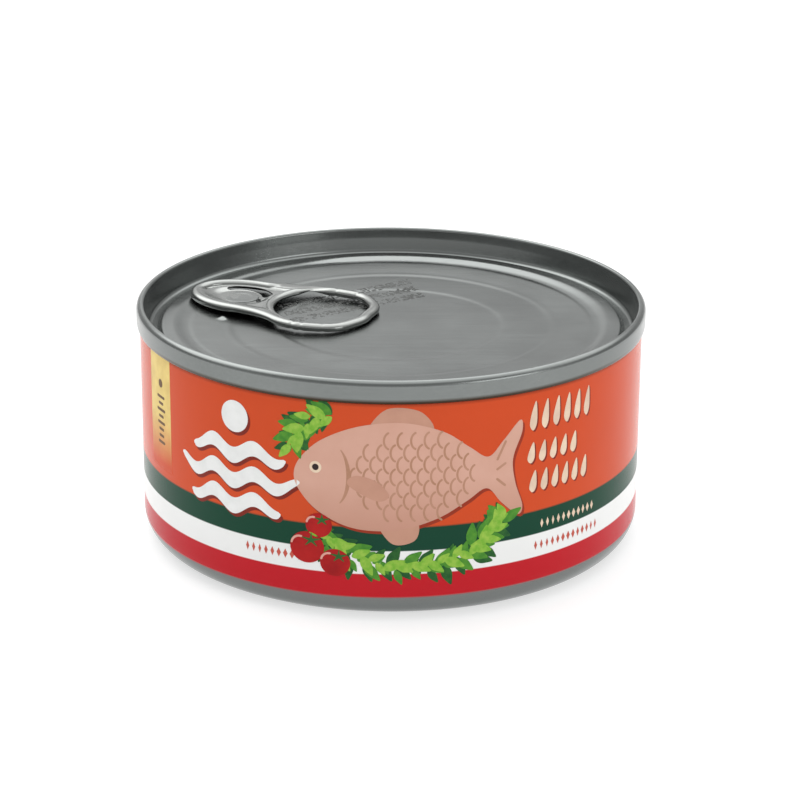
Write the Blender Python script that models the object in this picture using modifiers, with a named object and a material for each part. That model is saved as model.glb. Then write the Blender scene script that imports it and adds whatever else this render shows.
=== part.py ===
"""A shut steel food can with a ring-pull lid, standing upright.

The can is three pieces: the drawn body with its rounded bottom corner, the easy-open lid seamed
onto it, and the pull tab held by the lid's rivet. The origin is the centre of the foot, +Z is up
and the front of the print faces -Y. Sizes are in metres.
"""

from math import cos, pi, radians, sin

import bmesh
import bpy
from mathutils import Vector

MM = 0.001

# Driving dimensions
SEAM_RADIUS = 43.65 * MM
CAN_HEIGHT = 41.3 * MM
WALL_RADIUS = 43.1 * MM
CORNER_RADIUS = 5.0 * MM
GAP = 0.3 * MM
SEGMENTS = 72

# Body: foot, sunk base panel and the bands of the print, by height
FOOT_OUTER_RADIUS = WALL_RADIUS - CORNER_RADIUS
FOOT_WIDTH = 1.4 * MM
BASE_SINK = 1.3 * MM
BASE_STEP_RADIUS = 27.0 * MM
BASE_STEP = 0.7 * MM
RED_FROM = 4.2 * MM
WHITE_FROM = 8.6 * MM
GREEN_FROM = 12.6 * MM
ORANGE_FROM = 16.1 * MM

# Lid: seam, chuck wall, channel, rib round the panel and the dished panel
SEAM_HEIGHT = 3.65 * MM
SEAM_INNER_RADIUS = 42.3 * MM
CHANNEL_DEPTH = 5.2 * MM
CHANNEL_FROM = 39.7 * MM
CHANNEL_TO = 41.1 * MM
RIB_DEPTH = 4.25 * MM
RIB_FROM = 37.1 * MM
RIB_TO = 38.6 * MM
PANEL_DEPTH = 4.6 * MM
PANEL_RADIUS = 35.2 * MM
PANEL_STEPS = (27.6 * MM, 19.2 * MM)
PANEL_STEP = 0.1 * MM
SHEET = 0.5 * MM

# Pull tab: u runs outwards from the lid's centre to the tab's nose
TAB_YAW = radians(156.0)
TAB_PITCH = radians(1.0)
TAB_OFFSET = 0.5 * MM
RING_CENTRE = 14.2 * MM
RING_RADIUS = 10.1 * MM
RING_LEAVES_AT = radians(76.0)
NOSE_CENTRE = 25.9 * MM
NOSE_LENGTH = 11.5 * MM
NOSE_HALF_WIDTH = 7.3 * MM
NOSE_LEAVES_AT = radians(68.0)
CURL_HALF_WIDTH = 1.0 * MM
CURL_HALF_HEIGHT = 0.5 * MM
CURL_SIDES = 12
WEB = 0.25 * MM
WEB_LIFT = 0.1 * MM
HOLE_CENTRE = 12.35 * MM
HOLE_HALF_LENGTH = 8.5 * MM
HOLE_HALF_WIDTH = 9.9 * MM
BAR_HALF_WIDTH = 0.6 * MM
BAR_HALF_HEIGHT = 0.36 * MM
BAR_REACH = radians(82.0)
SLOT_RADIUS = 4.35 * MM
SLOT_WIDTH = 0.6 * MM
SLOT_FROM = radians(32.0)
SLOT_TO = radians(138.0)

# Rivet that the lid's own metal forms through the tab
RIVET_AT = 28.7 * MM
RIVET_STEM_RADIUS = 2.0 * MM
RIVET_HEAD_RADIUS = 3.7 * MM
RIVET_HEAD = 0.25 * MM
RIVET_STEPS = 20

PANEL_Z = CAN_HEIGHT - PANEL_DEPTH
PANEL_CENTRE_Z = PANEL_Z - PANEL_STEP * len(PANEL_STEPS)
SEAM_LOW_Z = CAN_HEIGHT - SEAM_HEIGHT
RING_END = RING_CENTRE - RING_RADIUS - CURL_HALF_WIDTH
CURL_BASE_Z = PANEL_CENTRE_Z + GAP + (RIVET_AT - RING_END) * sin(TAB_PITCH)


def clear_scene():
    for obj in list(bpy.data.objects):
        bpy.data.objects.remove(obj, do_unlink=True)


def new_collection(name):
    collection = bpy.data.collections.new(name)
    bpy.context.scene.collection.children.link(collection)
    return collection


def principled(name, colour, metallic, roughness):
    material = bpy.data.materials.new(name)
    material.use_nodes = True
    shader = material.node_tree.nodes["Principled BSDF"]
    shader.inputs["Base Color"].default_value = (*colour, 1.0)
    shader.inputs["Metallic"].default_value = metallic
    shader.inputs["Roughness"].default_value = roughness
    material.diffuse_color = (*colour, 1.0)
    return material


def arc(centre_r, centre_z, radius_r, radius_z, start, end, steps):
    """Points of an elliptical arc in a turned profile, from one angle to the other."""
    angles = (start + (end - start) * i / steps for i in range(steps + 1))
    return [(centre_r + radius_r * cos(a), centre_z + radius_z * sin(a)) for a in angles]


def turned(name, profile, collection, steps=SEGMENTS):
    """Turns a profile of (radius, height) points round Z."""
    mesh = bpy.data.meshes.new(name)
    edges = [(i, i + 1) for i in range(len(profile) - 1)]
    mesh.from_pydata([(r, 0.0, z) for r, z in profile], edges, [])
    obj = bpy.data.objects.new(name, mesh)
    collection.objects.link(obj)
    screw = obj.modifiers.new("Turn", "SCREW")
    screw.axis = "Z"
    screw.angle = 2 * pi
    screw.steps = screw.render_steps = steps
    screw.use_merge_vertices = True
    screw.merge_threshold = 0.01 * MM
    return obj


def to_mesh(obj, collection):
    """Replaces an object by a plain mesh of its evaluated shape, with its seams welded."""
    bpy.context.view_layer.update()
    graph = bpy.context.evaluated_depsgraph_get()
    mesh = bpy.data.meshes.new_from_object(obj.evaluated_get(graph))
    plain = bpy.data.objects.new(obj.name + "_mesh", mesh)
    plain.matrix_world = obj.matrix_world.copy()
    collection.objects.link(plain)
    name = obj.name
    bpy.data.objects.remove(obj, do_unlink=True)
    plain.name = mesh.name = name
    shell = bmesh.new()
    shell.from_mesh(mesh)
    bmesh.ops.remove_doubles(shell, verts=shell.verts, dist=0.002 * MM)
    bmesh.ops.recalc_face_normals(shell, faces=shell.faces)
    shell.to_mesh(mesh)
    shell.free()
    return plain


def unite(obj, other):
    union = obj.modifiers.new("Join " + other.name, "BOOLEAN")
    union.operation = "UNION"
    union.solver = "EXACT"
    union.object = other
    other.hide_render = True
    other.display_type = "WIRE"


def smooth(obj, angle):
    obj.data.shade_smooth()
    obj.data.set_sharp_from_angle(angle=angle)


def body_profile():
    """Top centre, out under the lid, over the rim, down the wall, round the corner, in to the base."""
    under_lid = CAN_HEIGHT - CHANNEL_DEPTH - SHEET - GAP
    rim_inner = SEAM_INNER_RADIUS + GAP / 2
    corner_points = arc(FOOT_OUTER_RADIUS, CORNER_RADIUS, CORNER_RADIUS, CORNER_RADIUS, 0, -pi / 2, 7)
    foot_inner = FOOT_OUTER_RADIUS - FOOT_WIDTH
    bands = [(WALL_RADIUS, z) for z in (ORANGE_FROM, GREEN_FROM, WHITE_FROM)]
    return [
        (0, under_lid),
        (rim_inner - 0.2 * MM, under_lid),
        (rim_inner, SEAM_LOW_Z - GAP),
        (WALL_RADIUS, SEAM_LOW_Z - GAP),
        *bands,
        *corner_points,
        (foot_inner, 0),
        (foot_inner - BASE_SINK, BASE_SINK),
        (BASE_STEP_RADIUS, BASE_SINK),
        (BASE_STEP_RADIUS - BASE_STEP, BASE_SINK - BASE_STEP),
        (0, BASE_SINK - BASE_STEP),
    ]


def make_body(collection):
    body = to_mesh(turned("can_body", body_profile(), collection), collection)
    bands = [
        (RED_FROM, principled("bare_tinplate", (0.32, 0.33, 0.32), 0.9, 0.35)),
        (WHITE_FROM, principled("red_print", (0.48, 0.02, 0.03), 0.1, 0.35)),
        (GREEN_FROM, principled("white_print", (0.77, 0.78, 0.76), 0.1, 0.35)),
        (ORANGE_FROM, principled("green_print", (0.01, 0.06, 0.035), 0.1, 0.35)),
        (CAN_HEIGHT, principled("orange_print", (0.6, 0.08, 0.02), 0.1, 0.35)),
    ]
    for _, material in bands:
        body.data.materials.append(material)
    for face in body.data.polygons:
        on_wall = face.center.xy.length > FOOT_OUTER_RADIUS and abs(face.normal.z) < 0.95
        below = [i for i, (top, _) in enumerate(bands) if face.center.z < top]
        face.material_index = below[0] if on_wall else 0
    smooth(body, radians(25))
    return body


def lid_profile():
    """Panel centre, out over the panel, rib and channel, over the seam, and back under the sheet."""
    points = [(0, PANEL_CENTRE_Z)]
    for k, radius in enumerate(reversed(PANEL_STEPS)):
        z = PANEL_CENTRE_Z + k * PANEL_STEP
        points += [(radius - 0.5 * MM, z), (radius + 0.5 * MM, z + PANEL_STEP)]
    rib_z = CAN_HEIGHT - RIB_DEPTH
    channel_z = CAN_HEIGHT - CHANNEL_DEPTH
    points += [(PANEL_RADIUS, PANEL_Z), (RIB_FROM, rib_z), (RIB_TO, rib_z)]
    points += [(CHANNEL_FROM - 0.3 * MM, channel_z + 0.3 * MM), (CHANNEL_FROM, channel_z)]
    points += arc(CHANNEL_TO, channel_z + 0.8 * MM, 0.7 * MM, 0.8 * MM, -pi / 2, 0, 3)
    crown_half = (SEAM_RADIUS - SEAM_INNER_RADIUS) / 2
    crown_r = SEAM_RADIUS - crown_half
    points += arc(crown_r, CAN_HEIGHT - crown_half, crown_half, crown_half, pi, 0, 6)
    points += [(SEAM_RADIUS, SEAM_LOW_Z + 0.4 * MM), (SEAM_RADIUS - 0.2 * MM, SEAM_LOW_Z)]
    under = channel_z - SHEET
    sheet_r = SEAM_INNER_RADIUS - GAP / 2
    points += [(sheet_r, SEAM_LOW_Z), (CHANNEL_TO + 0.6 * MM, under + 0.5 * MM)]
    points += [(CHANNEL_TO, under), (CHANNEL_FROM - 0.6 * MM, under)]
    points += [(CHANNEL_FROM - 1.1 * MM, PANEL_CENTRE_Z - SHEET), (0, PANEL_CENTRE_Z - SHEET)]
    return points


def tab_frame():
    """Empty at the rivet's foot on the panel, turned so that its +X points to the tab's nose."""
    frame = bpy.data.objects.new("tab_frame", None)
    side = Vector((-sin(TAB_YAW), cos(TAB_YAW), 0)) * TAB_OFFSET
    along = Vector((cos(TAB_YAW), sin(TAB_YAW), 0)) * RIVET_AT
    frame.location = along + side + Vector((0, 0, PANEL_Z))
    frame.rotation_euler = (0, 0, TAB_YAW)
    frame.empty_display_size = 5 * MM
    return frame


def rivet_profile():
    """Head over the web, and the stem down into the sheet."""
    head_low = CURL_BASE_Z - PANEL_Z + WEB_LIFT + WEB + GAP
    head_top = head_low + RIVET_HEAD
    return [
        (0, head_top),
        (RIVET_HEAD_RADIUS - 0.12 * MM, head_top),
        (RIVET_HEAD_RADIUS, head_top - 0.12 * MM),
        (RIVET_HEAD_RADIUS, head_low),
        (RIVET_STEM_RADIUS, head_low),
        (RIVET_STEM_RADIUS, -SHEET / 2),
        (0, -SHEET / 2),
    ]


def make_lid(collection, tools, frame):
    lid = to_mesh(turned("lid", lid_profile(), collection), collection)
    rivet = to_mesh(turned("rivet", rivet_profile(), tools, RIVET_STEPS), tools)
    rivet.parent = frame
    unite(lid, rivet)
    lid.data.materials.append(principled("lid_tinplate", (0.32, 0.34, 0.33), 1.0, 0.3))
    smooth(lid, radians(25))
    return lid


def half_outline(nose_steps=8, side_steps=5, ring_steps=11):
    """Centre line of the curled rim on one side, from the nose tip to the ring's end, as (u, v)."""
    nose = [NOSE_LEAVES_AT * i / nose_steps for i in range(nose_steps + 1)]
    ring = [RING_LEAVES_AT + (pi - RING_LEAVES_AT) * i / ring_steps for i in range(ring_steps + 1)]
    nose = [Vector((NOSE_CENTRE + NOSE_LENGTH * cos(a), NOSE_HALF_WIDTH * sin(a))) for a in nose]
    nose_way = Vector((-NOSE_LENGTH * sin(NOSE_LEAVES_AT), NOSE_HALF_WIDTH * cos(NOSE_LEAVES_AT)))
    ring_way = Vector((-sin(RING_LEAVES_AT), cos(RING_LEAVES_AT)))
    ring = [Vector((RING_CENTRE + RING_RADIUS * cos(a), RING_RADIUS * sin(a))) for a in ring]
    reach = (ring[0] - nose[-1]).length / 3
    hold = [nose[-1], nose[-1] + nose_way.normalized() * reach, ring[0] - ring_way * reach, ring[0]]
    side = []
    for i in range(1, side_steps):
        t = i / side_steps
        weights = ((1 - t) ** 3, 3 * t * (1 - t) ** 2, 3 * t * t * (1 - t), t ** 3)
        side.append(sum((w * p for w, p in zip(weights, hold)), Vector((0, 0))))
    return nose + side + ring


def tab_outline():
    half = half_outline()
    return half + [Vector((p.x, -p.y)) for p in reversed(half[1:-1])]


def ellipse(centre, half_u, half_v, steps, start=0.0, end=2 * pi):
    whole = abs(end - start) > 2 * pi - 0.001
    count = steps if whole else steps + 1
    angles = (start + (end - start) * i / steps for i in range(count))
    return [Vector((centre + half_u * cos(a), half_v * sin(a))) for a in angles]


def slot_outline(side):
    """One curved slot beside the rivet, as a closed outline with blunt ends."""
    steps = 8
    angles = [pi - side * (SLOT_FROM + (SLOT_TO - SLOT_FROM) * i / steps) for i in range(steps + 1)]
    outer = SLOT_RADIUS + SLOT_WIDTH / 2
    inner = SLOT_RADIUS - SLOT_WIDTH / 2
    points = [(outer, a) for a in angles] + [(inner, a) for a in reversed(angles)]
    return [Vector((RIVET_AT + r * cos(a), r * sin(a))) for r, a in points]


def add_spline(curve, points, height, cyclic):
    spline = curve.splines.new("POLY")
    spline.points.add(len(points) - 1)
    for place, p in zip(spline.points, points):
        place.co = (p.x - RIVET_AT, p.y, height, 1.0)
    spline.use_cyclic_u = cyclic


def section(name, half_width, half_height, tools):
    curve = bpy.data.curves.new(name, "CURVE")
    curve.dimensions = "2D"
    spline = curve.splines.new("POLY")
    spline.points.add(CURL_SIDES - 1)
    for i, place in enumerate(spline.points):
        a = 2 * pi * (i + 0.5) / CURL_SIDES
        place.co = (half_width * cos(a), half_height * sin(a), 0.0, 1.0)
    spline.use_cyclic_u = True
    obj = bpy.data.objects.new(name, curve)
    obj.hide_render = True
    tools.objects.link(obj)
    return obj


def swept(name, points, height, cyclic, profile, collection):
    """A curve along the points, with the profile as its section."""
    curve = bpy.data.curves.new(name, "CURVE")
    curve.dimensions = "3D"
    curve.twist_mode = "Z_UP"
    curve.bevel_mode = "OBJECT"
    curve.bevel_object = profile
    curve.use_fill_caps = not cyclic
    add_spline(curve, points, height, cyclic)
    obj = bpy.data.objects.new(name, curve)
    collection.objects.link(obj)
    return to_mesh(obj, collection)


def make_web(tools):
    """The flat sheet inside the curl, with the finger hole, the rivet's hole and two slots."""
    curve = bpy.data.curves.new("web", "CURVE")
    curve.dimensions = "2D"
    curve.fill_mode = "BOTH"
    curve.extrude = WEB / 2
    add_spline(curve, tab_outline(), 0.0, True)
    add_spline(curve, ellipse(HOLE_CENTRE, HOLE_HALF_LENGTH, HOLE_HALF_WIDTH, 36), 0.0, True)
    stem_hole = RIVET_STEM_RADIUS + GAP
    add_spline(curve, ellipse(RIVET_AT, stem_hole, stem_hole, RIVET_STEPS), 0.0, True)
    for side in (1, -1):
        add_spline(curve, slot_outline(side), 0.0, True)
    web = bpy.data.objects.new("web", curve)
    web.location.z = CURL_BASE_Z - PANEL_Z + WEB_LIFT + WEB / 2
    tools.objects.link(web)
    return to_mesh(web, tools)


def make_tab(collection, tools, frame):
    curl_z = CURL_BASE_Z - PANEL_Z + CURL_HALF_HEIGHT
    curl = section("curl_section", CURL_HALF_WIDTH, CURL_HALF_HEIGHT, tools)
    bar_section = section("bar_section", BAR_HALF_WIDTH, BAR_HALF_HEIGHT, tools)
    tab = swept("pull_tab", tab_outline(), curl_z, True, curl, collection)
    edge = ellipse(HOLE_CENTRE, HOLE_HALF_LENGTH, HOLE_HALF_WIDTH, 16, -BAR_REACH, BAR_REACH)
    bar_z = CURL_BASE_Z - PANEL_Z + BAR_HALF_HEIGHT
    bar = swept("bar", edge, bar_z, False, bar_section, tools)
    web = make_web(tools)
    for piece in (bar, web):
        piece.parent = tab
        unite(tab, piece)
    tab.parent = frame
    tab.rotation_euler = (0, -TAB_PITCH, 0)
    tab.data.materials.append(principled("tab_tinplate", (0.5, 0.51, 0.49), 1.0, 0.25))
    smooth(tab, radians(35))
    return tab


def main():
    clear_scene()
    can = new_collection("food_can")
    tools = new_collection("tools")
    tools.hide_render = True
    frame = tab_frame()
    can.objects.link(frame)
    make_body(can)
    make_lid(can, tools, frame)
    make_tab(can, tools, frame)
    bpy.context.view_layer.update()


if __name__ == "__main__":
    main()
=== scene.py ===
from math import atan2, ceil, copysign, cos, degrees, exp, hypot, pi, radians, sin

import bmesh
import bpy
from bpy.props import FloatProperty, FloatVectorProperty, IntProperty, PointerProperty
from mathutils import Matrix, Quaternion, Vector


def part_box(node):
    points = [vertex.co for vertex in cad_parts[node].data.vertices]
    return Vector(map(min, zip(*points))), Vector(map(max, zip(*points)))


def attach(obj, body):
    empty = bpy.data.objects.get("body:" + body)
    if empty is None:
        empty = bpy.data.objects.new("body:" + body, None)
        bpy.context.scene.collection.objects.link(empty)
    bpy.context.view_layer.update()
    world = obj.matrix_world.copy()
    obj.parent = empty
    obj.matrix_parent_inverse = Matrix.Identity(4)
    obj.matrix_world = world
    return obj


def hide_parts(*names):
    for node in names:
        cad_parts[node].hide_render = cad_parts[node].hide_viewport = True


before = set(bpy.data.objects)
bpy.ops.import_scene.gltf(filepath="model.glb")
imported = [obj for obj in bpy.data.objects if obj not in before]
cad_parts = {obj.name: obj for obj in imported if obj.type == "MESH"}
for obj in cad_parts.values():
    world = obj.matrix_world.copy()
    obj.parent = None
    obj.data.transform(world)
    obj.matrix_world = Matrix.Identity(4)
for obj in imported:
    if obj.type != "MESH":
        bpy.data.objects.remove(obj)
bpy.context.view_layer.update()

bl_info = {
    "name": "Ring-pull fish can",
    "version": (1, 0, 0),
    "blender": (4, 5, 0),
    "location": "3D View > Sidebar > Food Can",
    "description": "Dresses a shut steel fish can: printed body, easy-open lid and pull tab",
    "category": "Object",
}

MM = 0.001
LID_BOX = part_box("lid")
BODY_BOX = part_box("can_body")


# Sizes and colours a user would change


def length(name, description, default):
    return FloatProperty(
        name=name, description=description, default=default, min=0.0, unit="LENGTH", precision=5
    )


def angle(name, description, default):
    return FloatProperty(name=name, description=description, default=default, unit="ROTATION")


def amount(name, description, default, top=10.0):
    return FloatProperty(name=name, description=description, default=default, min=0.0, max=top)


def colour(name, description, default):
    return FloatVectorProperty(
        name=name, description=description, default=default, size=3, min=0.0, max=1.0,
        subtype="COLOR",
    )


def count(name, description, default):
    return IntProperty(name=name, description=description, default=default, min=1)


class CanSizes(bpy.types.PropertyGroup):
    seam_radius: length("Seam radius", "Outer radius of the double seam", LID_BOX[1].x)
    seam_inner: length("Seam inner radius", "Radius of the chuck wall at the crown", 42.3 * MM)
    seam_low: length("Seam low edge", "Height of the seam's lower edge", LID_BOX[1].z - 3.65 * MM)
    height: length("Height", "Height over the crown of the seam", LID_BOX[1].z)
    wall_radius: length("Wall radius", "Radius of the drawn wall", BODY_BOX[1].x)
    corner: length("Corner radius", "Radius of the bottom corner", 5.0 * MM)
    base_sink: length("Base sink", "How far the base panel lies above the foot", 1.3 * MM)
    panel_z: length("Panel height", "Height of the panel outside its two steps", 36.75 * MM)
    panel_step: length("Panel step", "Drop of the panel at each of its two steps", 0.1 * MM)
    edge_rise: length("Edge rise", "Rise of the panel towards its edge", 0.27 * MM)
    rib_z: length("Rib height", "Height of the rib round the panel", 37.47 * MM)
    channel_z: length("Channel height", "Height of the channel's floor", 36.6 * MM)
    turns: count("Segments", "Segments round the lid", 448)


class PrintLook(bpy.types.PropertyGroup):
    red_from: length("Red from", "Height where the red band starts", 4.2 * MM)
    white_from: length("White from", "Height where the white band starts", 8.34 * MM)
    green_from: length("Green from", "Height where the green band starts", 12.32 * MM)
    orange_from: length("Orange from", "Height where the orange field starts", 16.45 * MM)
    tilt: amount("Tilt", "Rise of the bands for each metre to the right", 0.0075)
    orange: colour("Orange", "Colour of the upper field", (0.58, 0.068, 0.016))
    green: colour("Green", "Colour of the green band", (0.004, 0.05, 0.026))
    white: colour("White", "Colour of the white band", (0.80, 0.81, 0.80))
    red: colour("Red", "Colour of the red band", (0.49, 0.010, 0.018))
    gold: colour("Gold", "Colour of the panel at the side of the print", (0.77, 0.59, 0.19))
    cream: colour("Cream", "Colour of the drops and the small marks", (0.78, 0.62, 0.46))
    shade: colour("Shade", "Colour of the printed drop shadows", (0.21, 0.022, 0.012))
    flesh: colour("Pink", "Colour of the fish in the picture", (0.62, 0.36, 0.28))
    leaf: colour("Leaf", "Colour of the garland's leaves", (0.16, 0.40, 0.035))
    fruit: colour("Fruit", "Colour of the round fruits", (0.42, 0.012, 0.012))


class TabSizes(bpy.types.PropertyGroup):
    yaw: angle("Turn", "Direction from the lid's centre to the tab's nose", radians(156.0))
    pitch: angle("Pitch", "How far the ring end leans down", radians(1.5))
    offset: length("Offset", "Sideways offset of the tab from the lid's centre", 0.5 * MM)
    rivet_at: length("Rivet", "Distance of the rivet from the lid's centre", 28.5 * MM)
    rivet_radius: length("Rivet radius", "Radius of the rivet's head", 3.1 * MM)
    curl_base: length("Curl base", "Height of the curl's underside at the rivet", 37.40 * MM)
    ring_centre: length("Ring centre", "Place of the ring's centre along the tab", 13.4 * MM)
    ring_radius: length("Ring radius", "Radius of the ring's crown line", 9.85 * MM)
    ring_reach: length("Ring reach", "Reach of the ring's flattened end from its centre", 8.8 * MM)
    nose_centre: length("Nose centre", "Place of the nose's centre along the tab", 27.3 * MM)
    nose_length: length("Nose length", "Reach of the nose from its centre", 9.7 * MM)
    nose_width: length("Nose half width", "Half width of the nose's crown line", 6.85 * MM)
    curl_width: length("Curl half width", "Half the width of the curled rim", 0.95 * MM)
    curl_height: length("Curl half height", "Half the height of the curled rim", 0.62 * MM)


class StudioLook(bpy.types.PropertyGroup):
    distance: length("Camera distance", "From the camera to the middle of the can", 470.4 * MM)
    elevation: angle("Camera elevation", "Height of the camera over the horizon", radians(20.231))
    aim_right: length("Aim right", "How far right of the can's middle it looks", 1.62 * MM)
    aim_up: length("Aim up", "How far above the can's middle it looks", 2.40 * MM)
    roll: angle("Roll", "Turn of the camera about its own axis", radians(0.32))
    lens: amount("Lens", "Focal length in millimetres", 121.34, 1000.0)
    surround: amount("Surround", "Strength of the white surround", 1.0)
    side: amount("Side lamp", "Strength of the soft lamp in front and to the right", 1.0, 100.0)
    key: amount("Key lamp", "Strength of the soft lamp behind and to the left", 0.8, 100.0)


class CanSettings(bpy.types.PropertyGroup):
    can: PointerProperty(type=CanSizes)
    print: PointerProperty(type=PrintLook)
    tab: PointerProperty(type=TabSizes)
    studio: PointerProperty(type=StudioLook)


# Node trees


def add(tree, kind, inputs=None, **settings):
    """Adds a node. A socket given for an input is linked to it, and anything else is its value."""
    made = tree.nodes.new(kind)
    for key, value in settings.items():
        setattr(made, key, value)
    for key, value in (inputs or {}).items():
        if isinstance(value, bpy.types.NodeSocket):
            tree.links.new(value, made.inputs[key])
        else:
            made.inputs[key].default_value = value
    return made


def maths(tree, operation, *values):
    node = add(tree, "ShaderNodeMath", dict(enumerate(values)), operation=operation)
    return node.outputs[0]


def compare(tree, operation, a, b):
    node = add(tree, "FunctionNodeCompare", {0: a, 1: b}, data_type="FLOAT", operation=operation)
    return node.outputs[0]


def random_value(tree, low, high, seed, identity=None):
    inputs = {2: low, 3: high, 8: seed}
    if identity is not None:
        inputs[7] = identity
    return add(tree, "FunctionNodeRandomValue", inputs, data_type="FLOAT").outputs[1]


def new_tree(name, kind, inputs, outputs):
    """A node group with named inputs, each (name, socket type, default), and named outputs."""
    tree = bpy.data.node_groups.new(name, kind)
    for label, socket, default in inputs:
        made = tree.interface.new_socket(label, in_out="INPUT", socket_type=socket)
        if default is not None:
            made.default_value = default
    for label, socket in outputs:
        tree.interface.new_socket(label, in_out="OUTPUT", socket_type=socket)
    source = tree.nodes.new("NodeGroupInput").outputs
    result = tree.nodes.new("NodeGroupOutput").inputs
    return tree, source, result


def finish_shape(tree, geometry, material, result):
    """Ends a shape tree: real copies, smooth shading and its material."""
    real = add(tree, "GeometryNodeRealizeInstances", {0: geometry})
    painted = add(tree, "GeometryNodeSetMaterial", {"Geometry": real.outputs[0], "Material": material})
    tree.links.new(painted.outputs[0], result[0])


def turned_tree():
    """Turns the points of a profile, radius in X and height in Z, round Z."""
    tree, source, result = new_tree(
        "turned_piece",
        "GeometryNodeTree",
        [
            ("Profile", "NodeSocketGeometry", None),
            ("Segments", "NodeSocketInt", 256),
            ("Weld", "NodeSocketFloat", 0.000002),
            ("Material", "NodeSocketMaterial", None),
        ],
        [("Shape", "NodeSocketGeometry")],
    )
    size = add(tree, "GeometryNodeAttributeDomainSize", {0: source["Profile"]}, component="MESH")
    rings = size.outputs["Point Count"]
    columns = maths(tree, "ADD", source["Segments"], 1.0)
    grid = add(tree, "GeometryNodeMeshGrid", {"Vertices X": columns, "Vertices Y": rings})
    index = add(tree, "GeometryNodeInputIndex").outputs[0]
    column = maths(tree, "FLOOR", maths(tree, "DIVIDE", index, rings))
    row = maths(tree, "SUBTRACT", index, maths(tree, "MULTIPLY", column, rings))
    place = add(tree, "GeometryNodeInputPosition").outputs[0]
    point = add(
        tree,
        "GeometryNodeSampleIndex",
        {"Geometry": source["Profile"], "Value": place, "Index": row},
        data_type="FLOAT_VECTOR",
    )
    parts = add(tree, "ShaderNodeSeparateXYZ", {0: point.outputs[0]}).outputs
    turn = maths(tree, "DIVIDE", maths(tree, "MULTIPLY", column, 2 * pi), source["Segments"])
    across = maths(tree, "MULTIPLY", parts["X"], maths(tree, "COSINE", turn))
    along = maths(tree, "MULTIPLY", parts["X"], maths(tree, "SINE", turn))
    spun = add(tree, "ShaderNodeCombineXYZ", {"X": across, "Y": along, "Z": parts["Z"]})
    shape = add(tree, "GeometryNodeSetPosition", {"Geometry": grid.outputs[0], "Position": spun.outputs[0]})
    welded = add(
        tree, "GeometryNodeMergeByDistance", {"Geometry": shape.outputs[0], "Distance": source["Weld"]}
    )
    finish_shape(tree, welded.outputs[0], source["Material"], result)
    return tree


def wrap_tree():
    """Bends a flat print, in millimetres with the distance round the wall in X, the height in Y
    and the film's depth in Z, onto the can's wall, and repeats it round the can."""
    tree, source, result = new_tree(
        "print_on_wall",
        "GeometryNodeTree",
        [
            ("Print", "NodeSocketGeometry", None),
            ("Wall Radius", "NodeSocketFloat", 0.0431),
            ("Lift", "NodeSocketFloat", 0.01),
            ("Copies", "NodeSocketInt", 2),
            ("Material", "NodeSocketMaterial", None),
        ],
        [("Shape", "NodeSocketGeometry")],
    )
    place = add(tree, "GeometryNodeInputPosition").outputs[0]
    flat = add(tree, "ShaderNodeSeparateXYZ", {0: place}).outputs
    turn = maths(tree, "DIVIDE", maths(tree, "MULTIPLY", flat["X"], MM), source["Wall Radius"])
    film = maths(tree, "MULTIPLY", maths(tree, "ADD", flat["Z"], source["Lift"]), MM)
    radius = maths(tree, "ADD", source["Wall Radius"], film)
    x = maths(tree, "MULTIPLY", radius, maths(tree, "SINE", turn))
    y = maths(tree, "MULTIPLY", maths(tree, "MULTIPLY", radius, -1.0), maths(tree, "COSINE", turn))
    z = maths(tree, "MULTIPLY", flat["Y"], MM)
    bent = add(tree, "ShaderNodeCombineXYZ", {"X": x, "Y": y, "Z": z})
    shape = add(
        tree, "GeometryNodeSetPosition", {"Geometry": source["Print"], "Position": bent.outputs[0]}
    )
    points = add(tree, "GeometryNodeMeshLine", {"Count": source["Copies"], "Offset": (0.0, 0.0, 0.0)})
    index = add(tree, "GeometryNodeInputIndex").outputs[0]
    step = maths(tree, "DIVIDE", 2 * pi, source["Copies"])
    spin = add(tree, "ShaderNodeCombineXYZ", {"Z": maths(tree, "MULTIPLY", index, step)})
    copies = add(
        tree,
        "GeometryNodeInstanceOnPoints",
        {"Points": points.outputs[0], "Instance": shape.outputs[0], "Rotation": spin.outputs[0]},
    )
    finish_shape(tree, copies.outputs[0], source["Material"], result)
    return tree


def on_wall(tree, wrap, flat, source, result):
    """Hands flat marks to the print_on_wall group and its result to the tree's output."""
    real = add(tree, "GeometryNodeRealizeInstances", {0: flat})
    group = add(tree, "GeometryNodeGroup", node_tree=wrap)
    tree.links.new(real.outputs[0], group.inputs["Print"])
    for label in ("Wall Radius", "Lift", "Copies", "Material"):
        tree.links.new(source[label], group.inputs[label])
    finish_shape(tree, group.outputs[0], source["Material"], result)


WALL_INPUTS = [
    ("Wall Radius", "NodeSocketFloat", 0.0431),
    ("Lift", "NodeSocketFloat", 0.01),
    ("Copies", "NodeSocketInt", 2),
    ("Material", "NodeSocketMaterial", None),
]


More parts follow.
